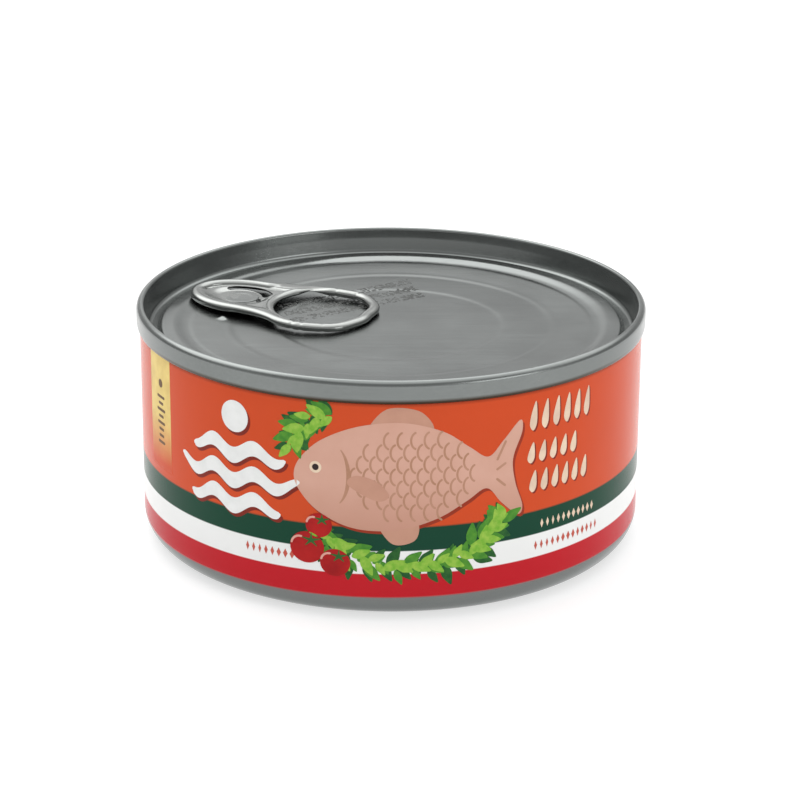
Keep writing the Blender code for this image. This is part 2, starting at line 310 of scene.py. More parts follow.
def rows_tree(wrap):
    """Repeats one mark in staggered rows on the wall, and keeps those inside an ellipse."""
    tree, source, result = new_tree(
        "marks_in_rows",
        "GeometryNodeTree",
        [
            ("Mark", "NodeSocketGeometry", None),
            ("Columns", "NodeSocketInt", 6),
            ("Rows", "NodeSocketInt", 3),
            ("Pitch", "NodeSocketFloat", 3.0),
            ("Row Gap", "NodeSocketFloat", 4.0),
            ("Stagger", "NodeSocketFloat", 0.0),
            ("Shift Odd Rows", "NodeSocketFloat", 0.0),
            ("Centre", "NodeSocketVector", (0.0, 0.0, 0.0)),
            ("Keep Half Width", "NodeSocketFloat", 1000.0),
            ("Keep Half Height", "NodeSocketFloat", 1000.0),
            ("Least Width", "NodeSocketFloat", 1.0),
            ("Seed", "NodeSocketInt", 1),
        ] + WALL_INPUTS,
        [("Shape", "NodeSocketGeometry")],
    )
    grid = add(
        tree,
        "GeometryNodeMeshGrid",
        {"Vertices X": source["Columns"], "Vertices Y": source["Rows"]},
    )
    index = add(tree, "GeometryNodeInputIndex").outputs[0]
    column = maths(tree, "FLOOR", maths(tree, "DIVIDE", index, source["Rows"]))
    row = maths(tree, "SUBTRACT", index, maths(tree, "MULTIPLY", column, source["Rows"]))
    half_columns = maths(tree, "DIVIDE", maths(tree, "SUBTRACT", source["Columns"], 1.0), 2.0)
    half_rows = maths(tree, "DIVIDE", maths(tree, "SUBTRACT", source["Rows"], 1.0), 2.0)
    x = maths(tree, "MULTIPLY", maths(tree, "SUBTRACT", column, half_columns), source["Pitch"])
    down = maths(tree, "SUBTRACT", row, half_rows)
    x = maths(tree, "ADD", x, maths(tree, "MULTIPLY", down, source["Stagger"]))
    odd = maths(tree, "MULTIPLY", maths(tree, "MODULO", row, 2.0), source["Shift Odd Rows"])
    x = maths(tree, "ADD", x, odd)
    y = maths(tree, "MULTIPLY", maths(tree, "MULTIPLY", down, -1.0), source["Row Gap"])
    spot = add(tree, "ShaderNodeCombineXYZ", {"X": x, "Y": y}).outputs[0]
    centred = add(tree, "ShaderNodeVectorMath", {0: spot, 1: source["Centre"]}, operation="ADD")
    placed = add(
        tree, "GeometryNodeSetPosition", {"Geometry": grid.outputs[0], "Position": centred.outputs[0]}
    )
    wide = maths(tree, "POWER", maths(tree, "DIVIDE", x, source["Keep Half Width"]), 2.0)
    tall = maths(tree, "POWER", maths(tree, "DIVIDE", y, source["Keep Half Height"]), 2.0)
    outside = compare(tree, "GREATER_THAN", maths(tree, "ADD", wide, tall), 1.0)
    held = add(tree, "GeometryNodeCaptureAttribute", {0: placed.outputs[0]}, domain="POINT")
    held.capture_items.new("BOOLEAN", "Outside")
    tree.links.new(outside, held.inputs["Outside"])
    kept = add(
        tree,
        "GeometryNodeDeleteGeometry",
        {"Geometry": held.outputs[0], "Selection": held.outputs["Outside"]},
        domain="POINT",
    )
    stretch = random_value(tree, source["Least Width"], 1.0, source["Seed"])
    size = add(tree, "ShaderNodeCombineXYZ", {"X": stretch, "Y": 1.0, "Z": 1.0})
    marks = add(
        tree,
        "GeometryNodeInstanceOnPoints",
        {"Points": kept.outputs[0], "Instance": source["Mark"], "Scale": size.outputs[0]},
    )
    on_wall(tree, wrap, marks.outputs[0], source, result)
    return tree


def garland_tree(wrap):
    """Sets one leaf again and again along an elliptical arc on the wall, turned out to both sides."""
    tree, source, result = new_tree(
        "leaf_garland",
        "GeometryNodeTree",
        [
            ("Leaf", "NodeSocketGeometry", None),
            ("Leaves", "NodeSocketInt", 20),
            ("Centre", "NodeSocketVector", (0.0, 0.0, 0.0)),
            ("Half Width", "NodeSocketFloat", 10.0),
            ("Half Height", "NodeSocketFloat", 8.0),
            ("From", "NodeSocketFloat", 0.0),
            ("To", "NodeSocketFloat", pi),
            ("Spread", "NodeSocketFloat", 0.9),
            ("Smallest", "NodeSocketFloat", 0.7),
            ("Scatter", "NodeSocketFloat", 0.3),
            ("Seed", "NodeSocketInt", 3),
        ] + WALL_INPUTS,
        [("Shape", "NodeSocketGeometry")],
    )
    line = add(tree, "GeometryNodeMeshLine", {"Count": source["Leaves"], "Offset": (0.0, 0.0, 0.0)})
    index = add(tree, "GeometryNodeInputIndex").outputs[0]
    last = maths(tree, "SUBTRACT", source["Leaves"], 1.0)
    share = maths(tree, "DIVIDE", index, last)
    sweep = maths(tree, "SUBTRACT", source["To"], source["From"])
    turn = maths(tree, "ADD", source["From"], maths(tree, "MULTIPLY", share, sweep))
    wander = maths(tree, "MULTIPLY", source["Scatter"], -1.0)
    out = random_value(tree, wander, source["Scatter"], source["Seed"], index)
    wide = maths(tree, "ADD", source["Half Width"], out)
    tall = maths(tree, "ADD", source["Half Height"], out)
    x = maths(tree, "MULTIPLY", wide, maths(tree, "COSINE", turn))
    y = maths(tree, "MULTIPLY", tall, maths(tree, "SINE", turn))
    spot = add(tree, "ShaderNodeCombineXYZ", {"X": x, "Y": y}).outputs[0]
    centred = add(tree, "ShaderNodeVectorMath", {0: spot, 1: source["Centre"]}, operation="ADD")
    placed = add(
        tree, "GeometryNodeSetPosition", {"Geometry": line.outputs[0], "Position": centred.outputs[0]}
    )
    run_x = maths(tree, "MULTIPLY", maths(tree, "SINE", turn), maths(tree, "MULTIPLY", wide, -1.0))
    run_y = maths(tree, "MULTIPLY", maths(tree, "COSINE", turn), tall)
    way = maths(tree, "ARCTAN2", run_y, run_x)
    side = maths(tree, "MULTIPLY_ADD", maths(tree, "MODULO", index, 2.0), 2.0, -1.0)
    seed = maths(tree, "ADD", source["Seed"], 7.0)
    lean = random_value(tree, 0.6, 1.4, seed, index)
    lean = maths(tree, "MULTIPLY", maths(tree, "MULTIPLY", source["Spread"], lean), side)
    spin = add(tree, "ShaderNodeCombineXYZ", {"Z": maths(tree, "ADD", way, lean)})
    size = random_value(tree, source["Smallest"], 1.0, maths(tree, "ADD", source["Seed"], 13.0), index)
    scale = add(tree, "ShaderNodeCombineXYZ", {"X": size, "Y": size, "Z": 1.0})
    leaves = add(
        tree,
        "GeometryNodeInstanceOnPoints",
        {
            "Points": placed.outputs[0],
            "Instance": source["Leaf"],
            "Rotation": spin.outputs[0],
            "Scale": scale.outputs[0],
        },
    )
    on_wall(tree, wrap, leaves.outputs[0], source, result)
    return tree


def dots_tree():
    """Lines of sprayed dots on the lid's panel: a grid with dots left out at random."""
    tree, source, result = new_tree(
        "sprayed_dots",
        "GeometryNodeTree",
        [
            ("Dot", "NodeSocketGeometry", None),
            ("Columns", "NodeSocketInt", 50),
            ("Dots Up", "NodeSocketInt", 6),
            ("Lines", "NodeSocketInt", 3),
            ("Cell", "NodeSocketInt", 6),
            ("Pitch", "NodeSocketFloat", 0.0004),
            ("Line Gap", "NodeSocketFloat", 0.0015),
            ("Start", "NodeSocketVector", (0.0, 0.0, 0.0)),
            ("Along", "NodeSocketVector", (1.0, 0.0, 0.0)),
            ("Across", "NodeSocketVector", (0.0, 1.0, 0.0)),
            ("Share", "NodeSocketFloat", 0.5),
            ("Scatter", "NodeSocketFloat", 0.0001),
            ("Panel Height", "NodeSocketFloat", 0.0365),
            ("Panel Step", "NodeSocketFloat", 0.0001),
            ("Seed", "NodeSocketInt", 5),
            ("Material", "NodeSocketMaterial", None),
        ],
        [("Shape", "NodeSocketGeometry")],
    )
    tall = maths(tree, "MULTIPLY", source["Dots Up"], source["Lines"])
    grid = add(tree, "GeometryNodeMeshGrid", {"Vertices X": source["Columns"], "Vertices Y": tall})
    index = add(tree, "GeometryNodeInputIndex").outputs[0]
    column = maths(tree, "FLOOR", maths(tree, "DIVIDE", index, tall))
    row = maths(tree, "SUBTRACT", index, maths(tree, "MULTIPLY", column, tall))
    line = maths(tree, "FLOOR", maths(tree, "DIVIDE", row, source["Dots Up"]))
    up = maths(tree, "MULTIPLY", row, source["Pitch"])
    up = maths(tree, "ADD", up, maths(tree, "MULTIPLY", line, source["Line Gap"]))
    right = maths(tree, "MULTIPLY", column, source["Pitch"])
    wander = maths(tree, "MULTIPLY", source["Scatter"], -1.0)
    right = maths(tree, "ADD", right, random_value(tree, wander, source["Scatter"], source["Seed"], index))
    run = add(tree, "ShaderNodeVectorMath", {0: source["Along"], "Scale": right}, operation="SCALE")
    rise = add(tree, "ShaderNodeVectorMath", {0: source["Across"], "Scale": up}, operation="SCALE")
    spot = add(tree, "ShaderNodeVectorMath", {0: run.outputs[0], 1: rise.outputs[0]}, operation="ADD")
    spot = add(tree, "ShaderNodeVectorMath", {0: spot.outputs[0], 1: source["Start"]}, operation="ADD")
    flat = add(tree, "ShaderNodeSeparateXYZ", {0: spot.outputs[0]}).outputs
    square = maths(tree, "MULTIPLY", flat["X"], flat["X"])
    square = maths(tree, "MULTIPLY_ADD", flat["Y"], flat["Y"], square)
    radius = maths(tree, "SQRT", square)
    height = source["Panel Height"]
    for low, high in ((18.7 * MM, 19.7 * MM), (27.1 * MM, 28.1 * MM)):
        step = add(
            tree,
            "ShaderNodeMapRange",
            {"Value": radius, "From Min": low, "From Max": high, "To Max": source["Panel Step"]},
            interpolation_type="SMOOTHSTEP",
        )
        height = maths(tree, "ADD", height, step.outputs[0])
    where = add(tree, "ShaderNodeCombineXYZ", {"X": flat["X"], "Y": flat["Y"], "Z": height})
    placed = add(
        tree, "GeometryNodeSetPosition", {"Geometry": grid.outputs[0], "Position": where.outputs[0]}
    )
    chance = random_value(tree, 0.0, 1.0, maths(tree, "ADD", source["Seed"], 3.0), index)
    missed = compare(tree, "GREATER_THAN", chance, source["Share"])
    last = maths(tree, "SUBTRACT", source["Cell"], 1.0)
    blank = compare(tree, "EQUAL", maths(tree, "MODULO", column, source["Cell"]), last)
    either = add(tree, "FunctionNodeBooleanMath", {0: missed, 1: blank}, operation="OR")
    kept = add(
        tree,
        "GeometryNodeDeleteGeometry",
        {"Geometry": placed.outputs[0], "Selection": either.outputs[0]},
        domain="POINT",
    )
    dots = add(
        tree, "GeometryNodeInstanceOnPoints", {"Points": kept.outputs[0], "Instance": source["Dot"]}
    )
    finish_shape(tree, dots.outputs[0], source["Material"], result)
    return tree


# Meshes


def new_piece(name, mesh):
    obj = bpy.data.objects.new(name, mesh)
    bpy.context.scene.collection.objects.link(obj)
    return obj


def grown(name, mesh, tree, values):
    """Runs a shape tree on a mesh and returns a piece that holds the plain result."""
    obj = bpy.data.objects.new(name, mesh)
    modifier = obj.modifiers.new(tree.name, "NODES")
    modifier.node_group = tree
    for item in tree.interface.items_tree:
        if item.item_type == "SOCKET" and item.in_out == "INPUT" and item.name in values:
            modifier[item.identifier] = values[item.name]
    bpy.context.scene.collection.objects.link(obj)
    bpy.context.view_layer.update()
    graph = bpy.context.evaluated_depsgraph_get()
    made = bpy.data.meshes.new_from_object(obj.evaluated_get(graph))
    obj.modifiers.remove(modifier)
    source = obj.data
    obj.data = made
    bpy.data.meshes.remove(source)
    made.name = name
    if not made.polygons:
        raise RuntimeError(f"{name} came out empty")
    face_out(made)
    return obj


def face_out(mesh, weld=0.0):
    shell = bmesh.new()
    shell.from_mesh(mesh)
    if weld:
        bmesh.ops.remove_doubles(shell, verts=shell.verts, dist=weld)
    bmesh.ops.recalc_face_normals(shell, faces=shell.faces)
    shell.to_mesh(mesh)
    shell.free()


def shade(mesh, sharp=radians(30)):
    mesh.shade_smooth()
    mesh.set_sharp_from_angle(angle=sharp)


def on_root(obj, slot, *nodes):
    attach(obj, "root")
    if nodes:
        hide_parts(*nodes)
    return obj


def profile_mesh(points):
    mesh = bpy.data.meshes.new("profile")
    mesh.from_pydata([(r, 0.0, z) for r, z in points], [], [])
    return mesh


def arc(centre_r, centre_z, radius_r, radius_z, start, end, steps):
    """Points of an elliptical arc in a profile, from one angle to the other, in degrees."""
    angles = (radians(start + (end - start) * i / steps) for i in range(steps + 1))
    return [(centre_r + radius_r * cos(a), centre_z + radius_z * sin(a)) for a in angles]


def dense(points, pitch):
    """The same profile with more points on its long stretches."""
    made = [points[0]]
    for (r0, z0), (r1, z1) in zip(points, points[1:]):
        steps = max(1, ceil(hypot(r1 - r0, z1 - z0) / pitch))
        made += [(r0 + (r1 - r0) * i / steps, z0 + (z1 - z0) * i / steps) for i in range(1, steps + 1)]
    return made


def eased(t):
    t = min(1.0, max(0.0, t))
    return t * t * (3 - 2 * t)


def window(value, start, full, end, none):
    """Rises from 0 at start to 1 at full, and falls from 1 at end to 0 at none."""
    return eased((value - start) / (full - start)) * eased((none - value) / (none - end))


# Flat prints, in millimetres: distance round the wall in X and height in Y


def flat_print(outlines, thick=0.02, pitch=0.9):
    """Fills closed outlines to a thin film. An outline inside another is a hole. Cuts across the
    film let it bend round the wall."""
    curve = bpy.data.curves.new("outline", "CURVE")
    curve.dimensions = "2D"
    curve.fill_mode = "BOTH"
    curve.extrude = thick / 2
    for points in outlines:
        spline = curve.splines.new("POLY")
        spline.points.add(len(points) - 1)
        for place, (x, y) in zip(spline.points, points):
            place.co = (x, y, 0.0, 1.0)
        spline.use_cyclic_u = True
    obj = new_piece("outline", curve)
    bpy.context.view_layer.update()
    graph = bpy.context.evaluated_depsgraph_get()
    mesh = bpy.data.meshes.new_from_object(obj.evaluated_get(graph))
    bpy.data.objects.remove(obj, do_unlink=True)
    film = bmesh.new()
    film.from_mesh(mesh)
    bmesh.ops.remove_doubles(film, verts=film.verts, dist=0.001)
    xs = [v.co.x for v in film.verts]
    for k in range(ceil(min(xs) / pitch), int(max(xs) / pitch) + 1):
        bmesh.ops.bisect_plane(
            film,
            geom=film.verts[:] + film.edges[:] + film.faces[:],
            plane_co=(k * pitch, 0, 0),
            plane_no=(1, 0, 0),
        )
    bmesh.ops.recalc_face_normals(film, faces=film.faces)
    film.to_mesh(mesh)
    film.free()
    return mesh


def disc(x, y, radius, steps=28, squash=1.0):
    return [
        (x + radius * cos(2 * pi * i / steps), y + radius * squash * sin(2 * pi * i / steps))
        for i in range(steps)
    ]


def spline_through(points, steps=8, closed=True):
    """A smooth line through the points."""
    n = len(points)
    made = []
    for i in range(n if closed else n - 1):
        p = [Vector(points[k % n if closed else min(max(k, 0), n - 1)]) for k in range(i - 1, i + 3)]
        for j in range(steps):
            t = j / steps
            made.append(
                0.5
                * (
                    2 * p[1]
                    + (p[2] - p[0]) * t
                    + (2 * p[0] - 5 * p[1] + 4 * p[2] - p[3]) * t * t
                    + (3 * p[1] - p[0] - 3 * p[2] + p[3]) * t ** 3
                )
            )
    if not closed:
        made.append(Vector(points[-1]))
    return [(v.x, v.y) for v in made]


def ribbon(points, width, ends=6):
    """A stroke of one width along a line, with round ends. width may be a function of the share."""
    line = [Vector(p) for p in points]
    last = len(line) - 1
    left, right = [], []
    for i, p in enumerate(line):
        way = (line[min(i + 1, last)] - line[max(i - 1, 0)]).normalized()
        side = Vector((-way.y, way.x))
        half = (width(i / last) if callable(width) else width) / 2
        left.append(p + side * half)
        right.append(p - side * half)
    made = list(left)
    for centre, start in ((line[-1], left[-1] - line[-1]), (line[0], right[0] - line[0])):
        for k in range(1, ends):
            made.append(centre + Matrix.Rotation(-pi * k / ends, 2) @ start)
        if centre is line[-1]:
            made += reversed(right)
    return [(v.x, v.y) for v in made]


def band(points, width):
    """A stroke along a line that runs to the right, as high at each place as the width says."""
    last = len(points) - 1
    halves = [width(i / last) / 2 for i in range(last + 1)]
    above = [(x, y + half) for (x, y), half in zip(points, halves)]
    below = [(x, y - half) for (x, y), half in zip(points, halves)]
    return above + below[::-1]


def films(outlines):
    """One mesh of a film for each outline, so that outlines may touch or overlap."""
    whole = bmesh.new()
    for outline in outlines:
        film = flat_print([outline])
        whole.from_mesh(film)
        bpy.data.meshes.remove(film)
    mesh = bpy.data.meshes.new("films")
    whole.to_mesh(mesh)
    whole.free()
    return mesh


def moved(outlines, x, y):
    return [[(px + x, py + y) for px, py in outline] for outline in outlines]


# Materials


def grain_group():
    """Rolling grain and faint smudges of sheet metal or print."""
    tree, source, result = new_tree(
        "sheet_grain",
        "ShaderNodeTree",
        [
            ("Vector", "NodeSocketVector", None),
            ("Lines", "NodeSocketFloat", 2500.0),
            ("Stretch", "NodeSocketFloat", 0.03),
            ("Smudge Size", "NodeSocketFloat", 60.0),
        ],
        [("Grain", "NodeSocketFloat"), ("Smudge", "NodeSocketFloat")],
    )
    size = add(tree, "ShaderNodeCombineXYZ", {"X": source["Stretch"], "Y": 1.0, "Z": 1.0})
    drawn = add(
        tree, "ShaderNodeVectorMath", {0: source["Vector"], 1: size.outputs[0]}, operation="MULTIPLY"
    )
    grain = add(
        tree,
        "ShaderNodeTexNoise",
        {"Vector": drawn.outputs[0], "Scale": source["Lines"], "Detail": 2.0, "Roughness": 0.6},
    )
    smudge = add(
        tree,
        "ShaderNodeTexNoise",
        {"Vector": source["Vector"], "Scale": source["Smudge Size"], "Detail": 4.0, "Roughness": 0.55},
    )
    tree.links.new(grain.outputs[0], result["Grain"])
    tree.links.new(smudge.outputs[0], result["Smudge"])
    return tree


def round_wall(tree, place):
    """Coordinates that run round the can in X, so that a grain follows the wall."""
    parts = add(tree, "ShaderNodeSeparateXYZ", {0: place}).outputs
    turn = maths(tree, "MULTIPLY", maths(tree, "ARCTAN2", parts["Y"], parts["X"]), 0.043)
    square = maths(tree, "MULTIPLY", parts["X"], parts["X"])
    square = maths(tree, "MULTIPLY_ADD", parts["Y"], parts["Y"], square)
    radius = maths(tree, "SQRT", square)
    return add(tree, "ShaderNodeCombineXYZ", {"X": turn, "Y": radius, "Z": parts["Z"]}).outputs[0]


def new_material(name, **sockets):
    """A Principled material with uniform values set on the shader's own sockets."""
    material = bpy.data.materials.new(name)
    material.use_nodes = True
    tree = material.node_tree
    shader = tree.nodes["Principled BSDF"]
    for label, value in sockets.items():
        shader.inputs[label.replace("_", " ")].default_value = value
    place = add(tree, "ShaderNodeTexCoord").outputs["Object"]
    return material, tree, shader, place


def between(tree, value, low, high, out_low, out_high):
    return add(
        tree,
        "ShaderNodeMapRange",
        {"Value": value, "From Min": low, "From Max": high, "To Min": out_low, "To Max": out_high},
    ).outputs[0]


def ramp(tree, value, stops, interpolation="LINEAR"):
    """A colour ramp with (place, colour) stops."""
    node = add(tree, "ShaderNodeValToRGB", {0: value})
    node.color_ramp.interpolation = interpolation
    elements = node.color_ramp.elements
    while len(elements) < len(stops):
        elements.new(0.5)
    for element, (place, tint) in zip(elements, stops):
        element.position = place
    for element, (place, tint) in zip(elements, stops):
        element.color = (*tint, 1.0)
    return node.outputs[0]


def times(tree, tint, factor):
    """A colour scaled by a factor that changes over the surface."""
    return add(
        tree, "ShaderNodeVectorMath", {0: tint, "Scale": factor}, operation="SCALE"
    ).outputs[0]


def tin_material(name, grain, base, rough, spun=False, bump=0.04, lines=2500.0, distance=2e-5):
    """Tinplate: rolling grain in the gloss and relief, smudges in the brightness."""
    material, tree, shader, place = new_material(name, Metallic=1.0)
    where = round_wall(tree, place) if spun else place
    sheet = add(
        tree,
        "ShaderNodeGroup",
        {},
        node_tree=grain,
    )
    tree.links.new(where, sheet.inputs["Vector"])
    sheet.inputs["Lines"].default_value = lines
    lines_out, smudge = sheet.outputs["Grain"], sheet.outputs["Smudge"]
    tone = between(tree, smudge, 0.3, 0.7, 0.94, 1.06)
    tone = maths(tree, "MULTIPLY", tone, between(tree, lines_out, 0.3, 0.7, 0.96, 1.04))
    tinted = times(tree, base, tone)
    tree.links.new(tinted, shader.inputs["Base Color"])
    gloss = maths(tree, "ADD", between(tree, smudge, 0.3, 0.7, rough * 0.85, rough * 1.2),
                  between(tree, lines_out, 0.3, 0.7, -0.02, 0.02))
    tree.links.new(gloss, shader.inputs["Roughness"])
    relief = add(tree, "ShaderNodeBump", {"Strength": bump, "Distance": distance, "Height": lines_out})
    tree.links.new(relief.outputs[0], shader.inputs["Normal"])
    return material


def ink_material(name, grain, tint, other=None, size=400.0, rough=0.32, fade=None):
    """Printed ink under varnish: mottled between two tints, with the sheet's grain below."""
    material, tree, shader, place = new_material(name)
    shader.inputs["Specular IOR Level"].default_value = 0.12
    sheet = add(tree, "ShaderNodeGroup", {}, node_tree=grain)
    tree.links.new(round_wall(tree, place), sheet.inputs["Vector"])
    sheet.inputs["Smudge Size"].default_value = size
    other = other or tuple(min(1.0, c * 0.9) for c in tint)
    mottle = between(tree, sheet.outputs["Smudge"], 0.35, 0.65, 0.0, 1.0)
    ink = ramp(tree, mottle, [(0.0, tint), (1.0, other)])
    if fade:
        low, high, under = fade
        parts = add(tree, "ShaderNodeSeparateXYZ", {0: place}).outputs
        share = between(tree, parts["Z"], low, high, 1.0, 0.0)
        mixed = add(tree, "ShaderNodeMix", {0: share, 6: ink, 7: (*under, 1.0)}, data_type="RGBA")
        ink = mixed.outputs[2]
    tree.links.new(ink, shader.inputs["Base Color"])
    gloss = between(tree, sheet.outputs["Smudge"], 0.3, 0.7, rough - 0.03, rough + 0.03)
    tree.links.new(gloss, shader.inputs["Roughness"])
    return material


def band_material(grain, look, height, top):
    """Bare tinplate at the bottom corner, then the print's bands by height under varnish, with painted shade
    just under the seam.
    """
    material, tree, shader, place = new_material("printed_tinplate")
    shader.inputs["Specular IOR Level"].default_value = 0.12
    sheet = add(tree, "ShaderNodeGroup", {}, node_tree=grain)
    tree.links.new(round_wall(tree, place), sheet.inputs["Vector"])
    parts = add(tree, "ShaderNodeSeparateXYZ", {0: place}).outputs
    level = maths(tree, "MULTIPLY_ADD", parts["X"], -look.tilt, parts["Z"])
    level = maths(tree, "DIVIDE", level, height)
    tin = (0.19, 0.202, 0.197)
    edges = [look.red_from, look.white_from, look.green_from, look.orange_from]
    tints = [tin, tuple(look.red), tuple(look.white), tuple(look.green), tuple(look.orange)]
    soft = 0.05 * MM
    stops = [(0.0, tin)]
    for edge, below, above in zip(edges, tints, tints[1:]):
        stops += [((edge - soft) / height, below), ((edge + soft) / height, above)]
    bands = ramp(tree, level, stops)
    tone = between(tree, sheet.outputs["Smudge"], 0.3, 0.7, 0.97, 1.03)
    # Painted shade: the print darkens from full colour 0.8 mm below the seam's low edge to 0.45 of it at 0.1
    # mm below.
    under = between(tree, parts["Z"], top - 0.8 * MM, top - 0.1 * MM, 1.0, 0.45)
    tone = maths(tree, "MULTIPLY", tone, under)
    tree.links.new(times(tree, bands, tone), shader.inputs["Base Color"])
    printed = between(tree, parts["Z"], edges[0] - soft, edges[0] + soft, 0.0, 1.0)
    tree.links.new(maths(tree, "SUBTRACT", 1.0, printed), shader.inputs["Metallic"])
    gloss = between(tree, sheet.outputs["Smudge"], 0.3, 0.7, 0.17, 0.23)
    tree.links.new(gloss, shader.inputs["Roughness"])
    return material


# Things made once and used by several pieces

KIT = {}


def kit():
    """The shared trees and groups, made on first use."""
    if not KIT:
        KIT["turned"] = turned_tree()
        KIT["wrap"] = wrap_tree()
        KIT["rows"] = rows_tree(KIT["wrap"])
        KIT["garland"] = garland_tree(KIT["wrap"])
        KIT["dots"] = dots_tree()
        KIT["grain"] = grain_group()
    return KIT


def wrapped(name, mesh, material, lift, settings, copies=2):
    values = {
        "Wall Radius": settings.can.wall_radius,
        "Lift": lift,
        "Copies": copies,
        "Material": material,
    }
    obj = grown(name, mesh, kit()["wrap"], values)
    shade(obj.data)
    return on_root(obj, "printed_body")


def wall_marks(name, mark, tree, values, material, lift, settings, copies=2):
    values = {
        "Wall Radius": settings.can.wall_radius,
        "Lift": lift,
        "Copies": copies,
        "Material": material,
        **values,
    }
    obj = grown(name, mark, kit()[tree], values)
    shade(obj.data)
    return on_root(obj, "printed_body")


# Body


def body_profile(can):
    """Top centre, out under the lid, down the wall, round the corner, in over the foot."""
    top = can.seam_low + 0.6 * MM
    wall = can.wall_radius
    corner = can.corner
    foot = wall - corner
    inner = foot - 1.4 * MM
    points = [(0.0, top - 2.4 * MM), (wall - 1.1 * MM, top - 2.4 * MM), (wall - 1.0 * MM, top)]
    points += [(wall, top), (wall, can.seam_low - 0.2 * MM)]
    points += dense([(wall, can.seam_low - 0.6 * MM), (wall, corner)], 1.5 * MM)
    points += arc(foot, corner, corner, corner, 0, -90, 20)[1:]
    points += [(foot - 0.5 * MM, 0.0)]
    points += arc(inner + 0.2 * MM, 0.5 * MM, 0.5 * MM, 0.5 * MM, -90, -180, 5)
    sink = can.base_sink
    points += arc(inner - 1.3 * MM, sink - 0.6 * MM, 0.6 * MM, 0.6 * MM, 0, 90, 5)
    bead = 29.0 * MM
    points += [(bead + 1.6 * MM, sink)]
    points += [(bead + 1.6 * MM * cos(radians(a)), sink - 0.7 * MM * sin(radians(a)))
               for a in range(15, 180, 15)]
    points += dense([(bead - 1.6 * MM, sink), (0.0, sink)], 3.0 * MM)
    return points


class FOODCAN_OT_body(bpy.types.Operator):
    """Make the drawn body with its printed bands"""

    bl_idname = "food_can.body"
    bl_label = "Printed body"

    def execute(self, context):
        settings = context.scene.food_can
        material = band_material(kit()["grain"], settings.print, settings.can.height, settings.can.seam_low)
        values = {"Segments": 288, "Material": material}
        profile = profile_mesh(body_profile(settings.can))
        body = grown("printed_body", profile, kit()["turned"], values)
        shade(body.data)
        on_root(body, "printed_body", "can_body")
        return {"FINISHED"}


# Lid


def lid_profile(can):
    """Panel centre, out over the steps, rib and channel, over the seam, and back underneath."""
    panel = can.panel_z
    step = can.panel_step
    low = panel - 2 * step
    points = [(0.0, low), (18.2 * MM, low)]
    for k, radius in enumerate((19.2 * MM, 27.6 * MM)):
        z = low + k * step
        rise = [(radius + 0.7 * MM * t, z + step * eased((t + 1) / 2)) for t in (-1, -0.5, 0, 0.5, 1)]
        points += rise
    edge = panel + can.edge_rise
    points += [(28.9 * MM, panel + 0.01 * MM), (34.0 * MM, edge - 0.01 * MM), (34.3 * MM, edge)]
    points += [(34.65 * MM, edge - 0.03 * MM), (35.0 * MM, edge - 0.025 * MM)]
    rise = can.rib_z - edge
    points += [((35.35 + 2.15 * t / 6) * MM, edge + rise * (0.04 + 0.96 * eased(t / 6))) for t in range(7)]
    points += [(39.2 * MM, can.rib_z)]
    points += arc(39.2 * MM, can.rib_z - 0.45 * MM, 0.5 * MM, 0.45 * MM, 78, 8, 5)
    points += arc(40.25 * MM, can.channel_z + 0.42 * MM, 0.5 * MM, 0.42 * MM, 192, 270, 5)
    points += arc(40.95 * MM, can.channel_z + 0.9 * MM, 0.9 * MM, 0.9 * MM, -90, -6, 10)
    seam, inner = can.seam_radius, can.seam_inner
    points += [(inner - 0.05 * MM, can.height - 1.6 * MM)]
    points += arc(inner + 0.4 * MM, can.height - 0.45 * MM, 0.4 * MM, 0.45 * MM, 180, 90, 8)
    points += arc(seam - 0.95 * MM, can.height - 0.95 * MM, 0.95 * MM, 0.95 * MM, 90, 4, 16)[1:]
    points += [(seam, can.height - 1.5 * MM), (seam, can.seam_low + 1.1 * MM)]
    points += arc(seam - 0.5 * MM, can.seam_low + 0.85 * MM, 0.5 * MM, 1.05 * MM, 0, -84, 10)[1:]
    points = dense(points, 0.42 * MM)
    under = can.channel_z - 0.3 * MM
    sheet = can.seam_inner - 0.25 * MM
    points += [(sheet, can.seam_low), (sheet, under + 1.0 * MM), (41.2 * MM, under)]
    points += [(39.0 * MM, under), (38.2 * MM, low - 0.25 * MM), (0.0, low - 0.25 * MM)]
    return points


def tab_place(tab, u, v):
    """Plan position of a point given along and across the tab, from the lid's centre."""
    v = v + tab.offset
    return (u * cos(tab.yaw) - v * sin(tab.yaw), u * sin(tab.yaw) + v * cos(tab.yaw))


PANEL_BUMPS = (
    (27.4, 9.5, 0.7, 0.40),
    (27.4, -9.6, 0.8, 0.30),
    (31.6, 14.4, 0.9, 0.10),
    (15.7, 10.5, 1.2, 0.05),
)
SOFT_DENTS = (
    (-17.0, -13.5, 9.0, 5.0, 0.10),
    (-27.0, -4.0, 6.0, 4.0, -0.05),
    (12.0, -22.0, 16.0, 7.0, 0.05),
    (14.0, 17.0, 12.0, 8.0, -0.05),
)


# Bearings, in degrees, between which the rib is lower behind the tab, and by how much at most
LOW_RIB = (100, 119, 152, 172)
LOW_RIB_DEPTH = 0.34


